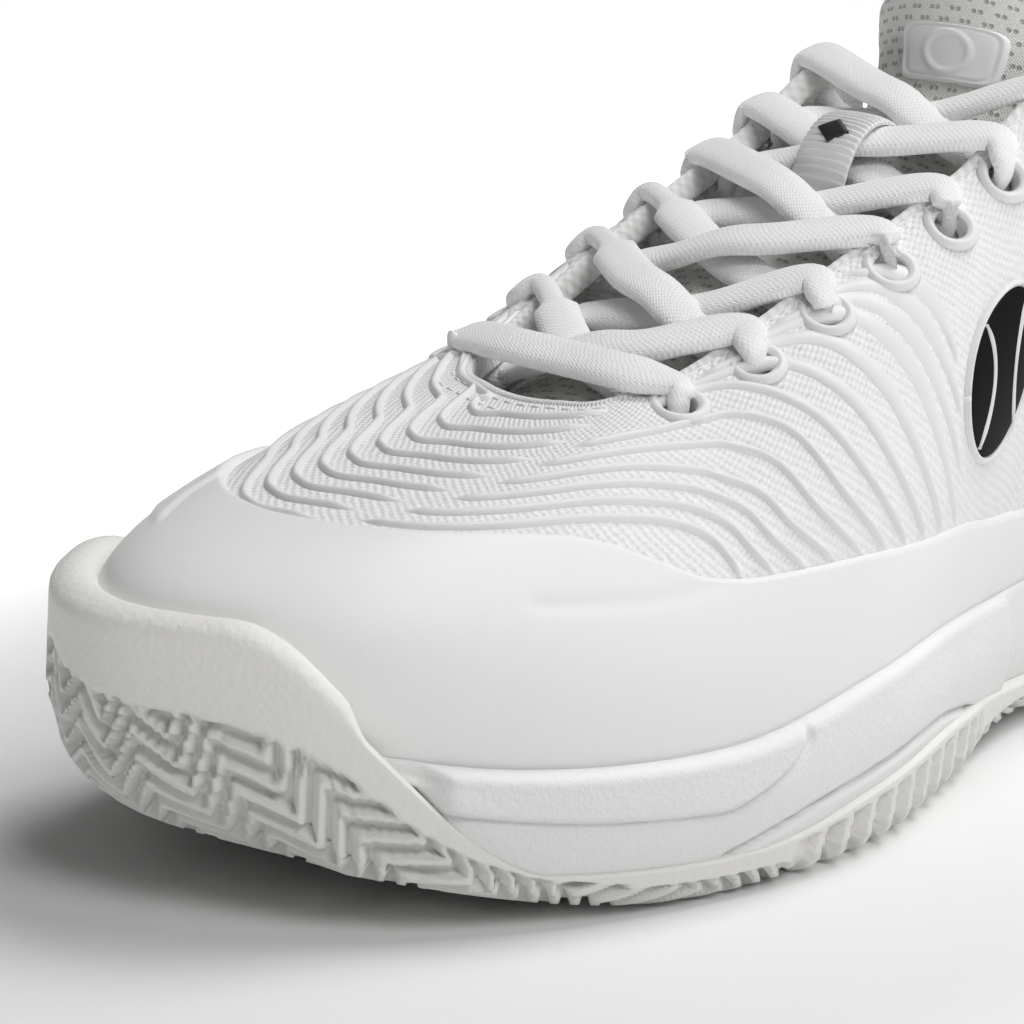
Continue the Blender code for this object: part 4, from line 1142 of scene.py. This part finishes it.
# ---------------------------------------------------------------- heel overlay and tab
# A fused film cup outside the heel, and a raised tab of the same film under the collar edge.
back_u = np.linspace(-1.75, 1.75, 60)
low_v = rand_top(back_u) + 0.015
arch = 0.80 - 0.10 * np.abs(back_u / 1.75) ** 3
v = low_v[None] + (arch - low_v)[None] * np.linspace(0, 1, 36)[:, None]
uu = np.broadcast_to(back_u, v.shape)
rim_away = np.minimum(np.linspace(0, 1, 36)[:, None] * 30, (1 - np.linspace(0, 1, 36)[:, None]) * 30)
rim_away = np.minimum(rim_away, (1.75 - np.abs(back_u))[None] * 26)
h = 0.15 + 0.95 * np.sqrt(np.clip(rim_away / 1.2, 0, 1)) + 0.5 * np.exp(-((v - arch + 0.16) / 0.02) ** 2) \
    + 0.5 * np.exp(-((v - arch + 0.24) / 0.02) ** 2)
piece("heel_film", closed_pair(skin(uu, v, h), skin(uu, v, 0.02 + 0 * h)), film.material, "shoe",
      ["heel_overlay"])
tab_u = np.linspace(-0.45, 0.45, 24)
v = np.linspace(0.83, 1.0, 20)[:, None] + 0 * tab_u[None]
uu = np.broadcast_to(tab_u, v.shape)
rim_away = np.minimum(np.minimum((v - 0.83) * 100, (0.45 - np.abs(uu)) * 24), 3)
h = 0.4 + 1.9 * np.sqrt(np.clip(rim_away / 2, 0, 1))
piece("heel_tab_film", closed_pair(skin(uu, v, h), skin(uu, v, 0.05 + 0 * h)), film.material, "shoe",
      ["heel_tab"])

# ---------------------------------------------------------------- sockliner
# A loose foam insole covered with brushed cloth, cupped up a little at its edge.
ROUND_BOARD = spaced((0, 20, 0.1))
rim_xy = skin(ROUND_BOARD, 0.06, -5.6)[..., :2]
middle = np.clip(outline(ROUND_BOARD)[:, 0], -100, 100)
middle = np.stack([middle, 2 - 9 * smooth((middle - 40) / 80)], -1)
rings = []
top_rings = [(k, 5.6) for k in np.linspace(0.02, 0.9, 22)]
edge_rings = [(0.95, 5.9), (0.985, 6.1), (1.0, 5.7), (1.0, 3.5), (0.98, 1.8), (0.5, 1.6), (0.05, 1.6)]
for share, h in top_rings + edge_rings:
    xy = middle + (rim_xy - middle) * share
    lift = h + (0.5 * smooth((share - 0.6) / 0.4) if h > 5 else 0)
    rings.append(np.concatenate([xy, (foot_level(xy[:, 0]) + lift)[:, None]], -1))
brushed = Finish("sockliner_cloth", (0.84, 0.84, 0.835), 0.92, Sheen_Weight=0.3, Specular_IOR_Level=0.1)
brushed.set("Normal", brushed.bump(brushed.noise(0.6, 3), 0.2))
brushed.set("Base Color", brushed.mix(brushed.noise(3, 4), (0.86, 0.86, 0.855, 1), (0.80, 0.80, 0.795, 1)))
insole = piece("sockliner_cloth", shaped(np.array(rings), closed=True, caps=True), brushed.material, "shoe",
               ["sockliner"])

# ---------------------------------------------------------------- stitching
# Lockstitch rows: two round the front of the throat and one along each eyelet edge.
def stitches(bm, line, pitch=2.9, long=2.0, wide=0.30):
    points, normals = on_skin(line)
    run = np.concatenate([[0], np.cumsum(np.linalg.norm(np.diff(points, axis=0), axis=1))])
    for s0 in np.arange(0.5, run[-1] - long, pitch):
        at = np.linspace(s0, s0 + long, 6)
        p = np.stack([np.interp(at, run, points[:, k]) for k in range(3)], -1)
        n = np.stack([np.interp(at, run, normals[:, k]) for k in range(3)], -1)
        swell = np.sin(np.linspace(0.25, math.pi - 0.25, 6))
        bead_along(bm, p + n * 0.05, n, wide * (0.5 + 0.5 * swell), 0.34 * swell, sides=4, root=0.2)


bm = bmesh.new()
for inset_mm in (3.0, 6.0):
    u = np.linspace(7.95, 12.05, 60)
    stitches(bm, np.stack([u, inset_share(u, inset_mm)], -1))
for first, last in ((7.55, 4.0), (12.45, 16.0)):
    u = np.linspace(first, last, 60)
    stitches(bm, np.stack([u, inset_share(u, 1.9)], -1))
thread = Finish("white_thread", (0.9, 0.9, 0.895), 0.7, Sheen_Weight=0.2)
thread.set("Normal", thread.bump(thread.noise(0.2, 2), 0.04))
piece("lockstitches", bm, thread.material, "shoe")

# ---------------------------------------------------------------- hidden boards and tips
# The pieces that stay inside keep their solids: boards, stiffeners, shank and the lace's tips.
board = Finish("moulded_board", (0.80, 0.79, 0.76), 0.8)
board.set("Base Color", board.mix(board.noise(1.5, 4), (0.82, 0.81, 0.78, 1), (0.74, 0.73, 0.70, 1)))
board.set("Normal", board.bump(board.noise(0.5, 3), 0.1))
composite = Finish("dark_composite", (0.07, 0.07, 0.075), 0.38)
composite.set("Normal", composite.bump(composite.noise(0.5, 2), 0.05))
tip = Finish("clear_tip", (0.88, 0.88, 0.88), 0.2, Coat_Weight=0.4)
tip.set("Roughness", tip.noise(2, 2) * 0.15 + 0.15)
for node, made in (("strobel_board", board), ("toe_puff", board), ("heel_counter", board),
                   ("eyestay_lateral", board), ("eyestay_medial", board), ("midfoot_shank", composite),
                   ("aglet_lateral", tip), ("aglet_medial", tip)):
    mesh = frame["nodes"][node].data
    if not mesh.materials:
        mesh.materials.append(made.material)
    for slot in range(len(mesh.materials)):
        mesh.materials[slot] = made.material

# ---------------------------------------------------------------- tongue points
# Two points on the tongue's middle line, below the label and above the last eyelets; the pad's transform is
# baked.
low_point, high_point = tongue(7.5, 0.0) * MM, tongue(8.5, 0.0) * MM
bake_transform(tongue_pad)
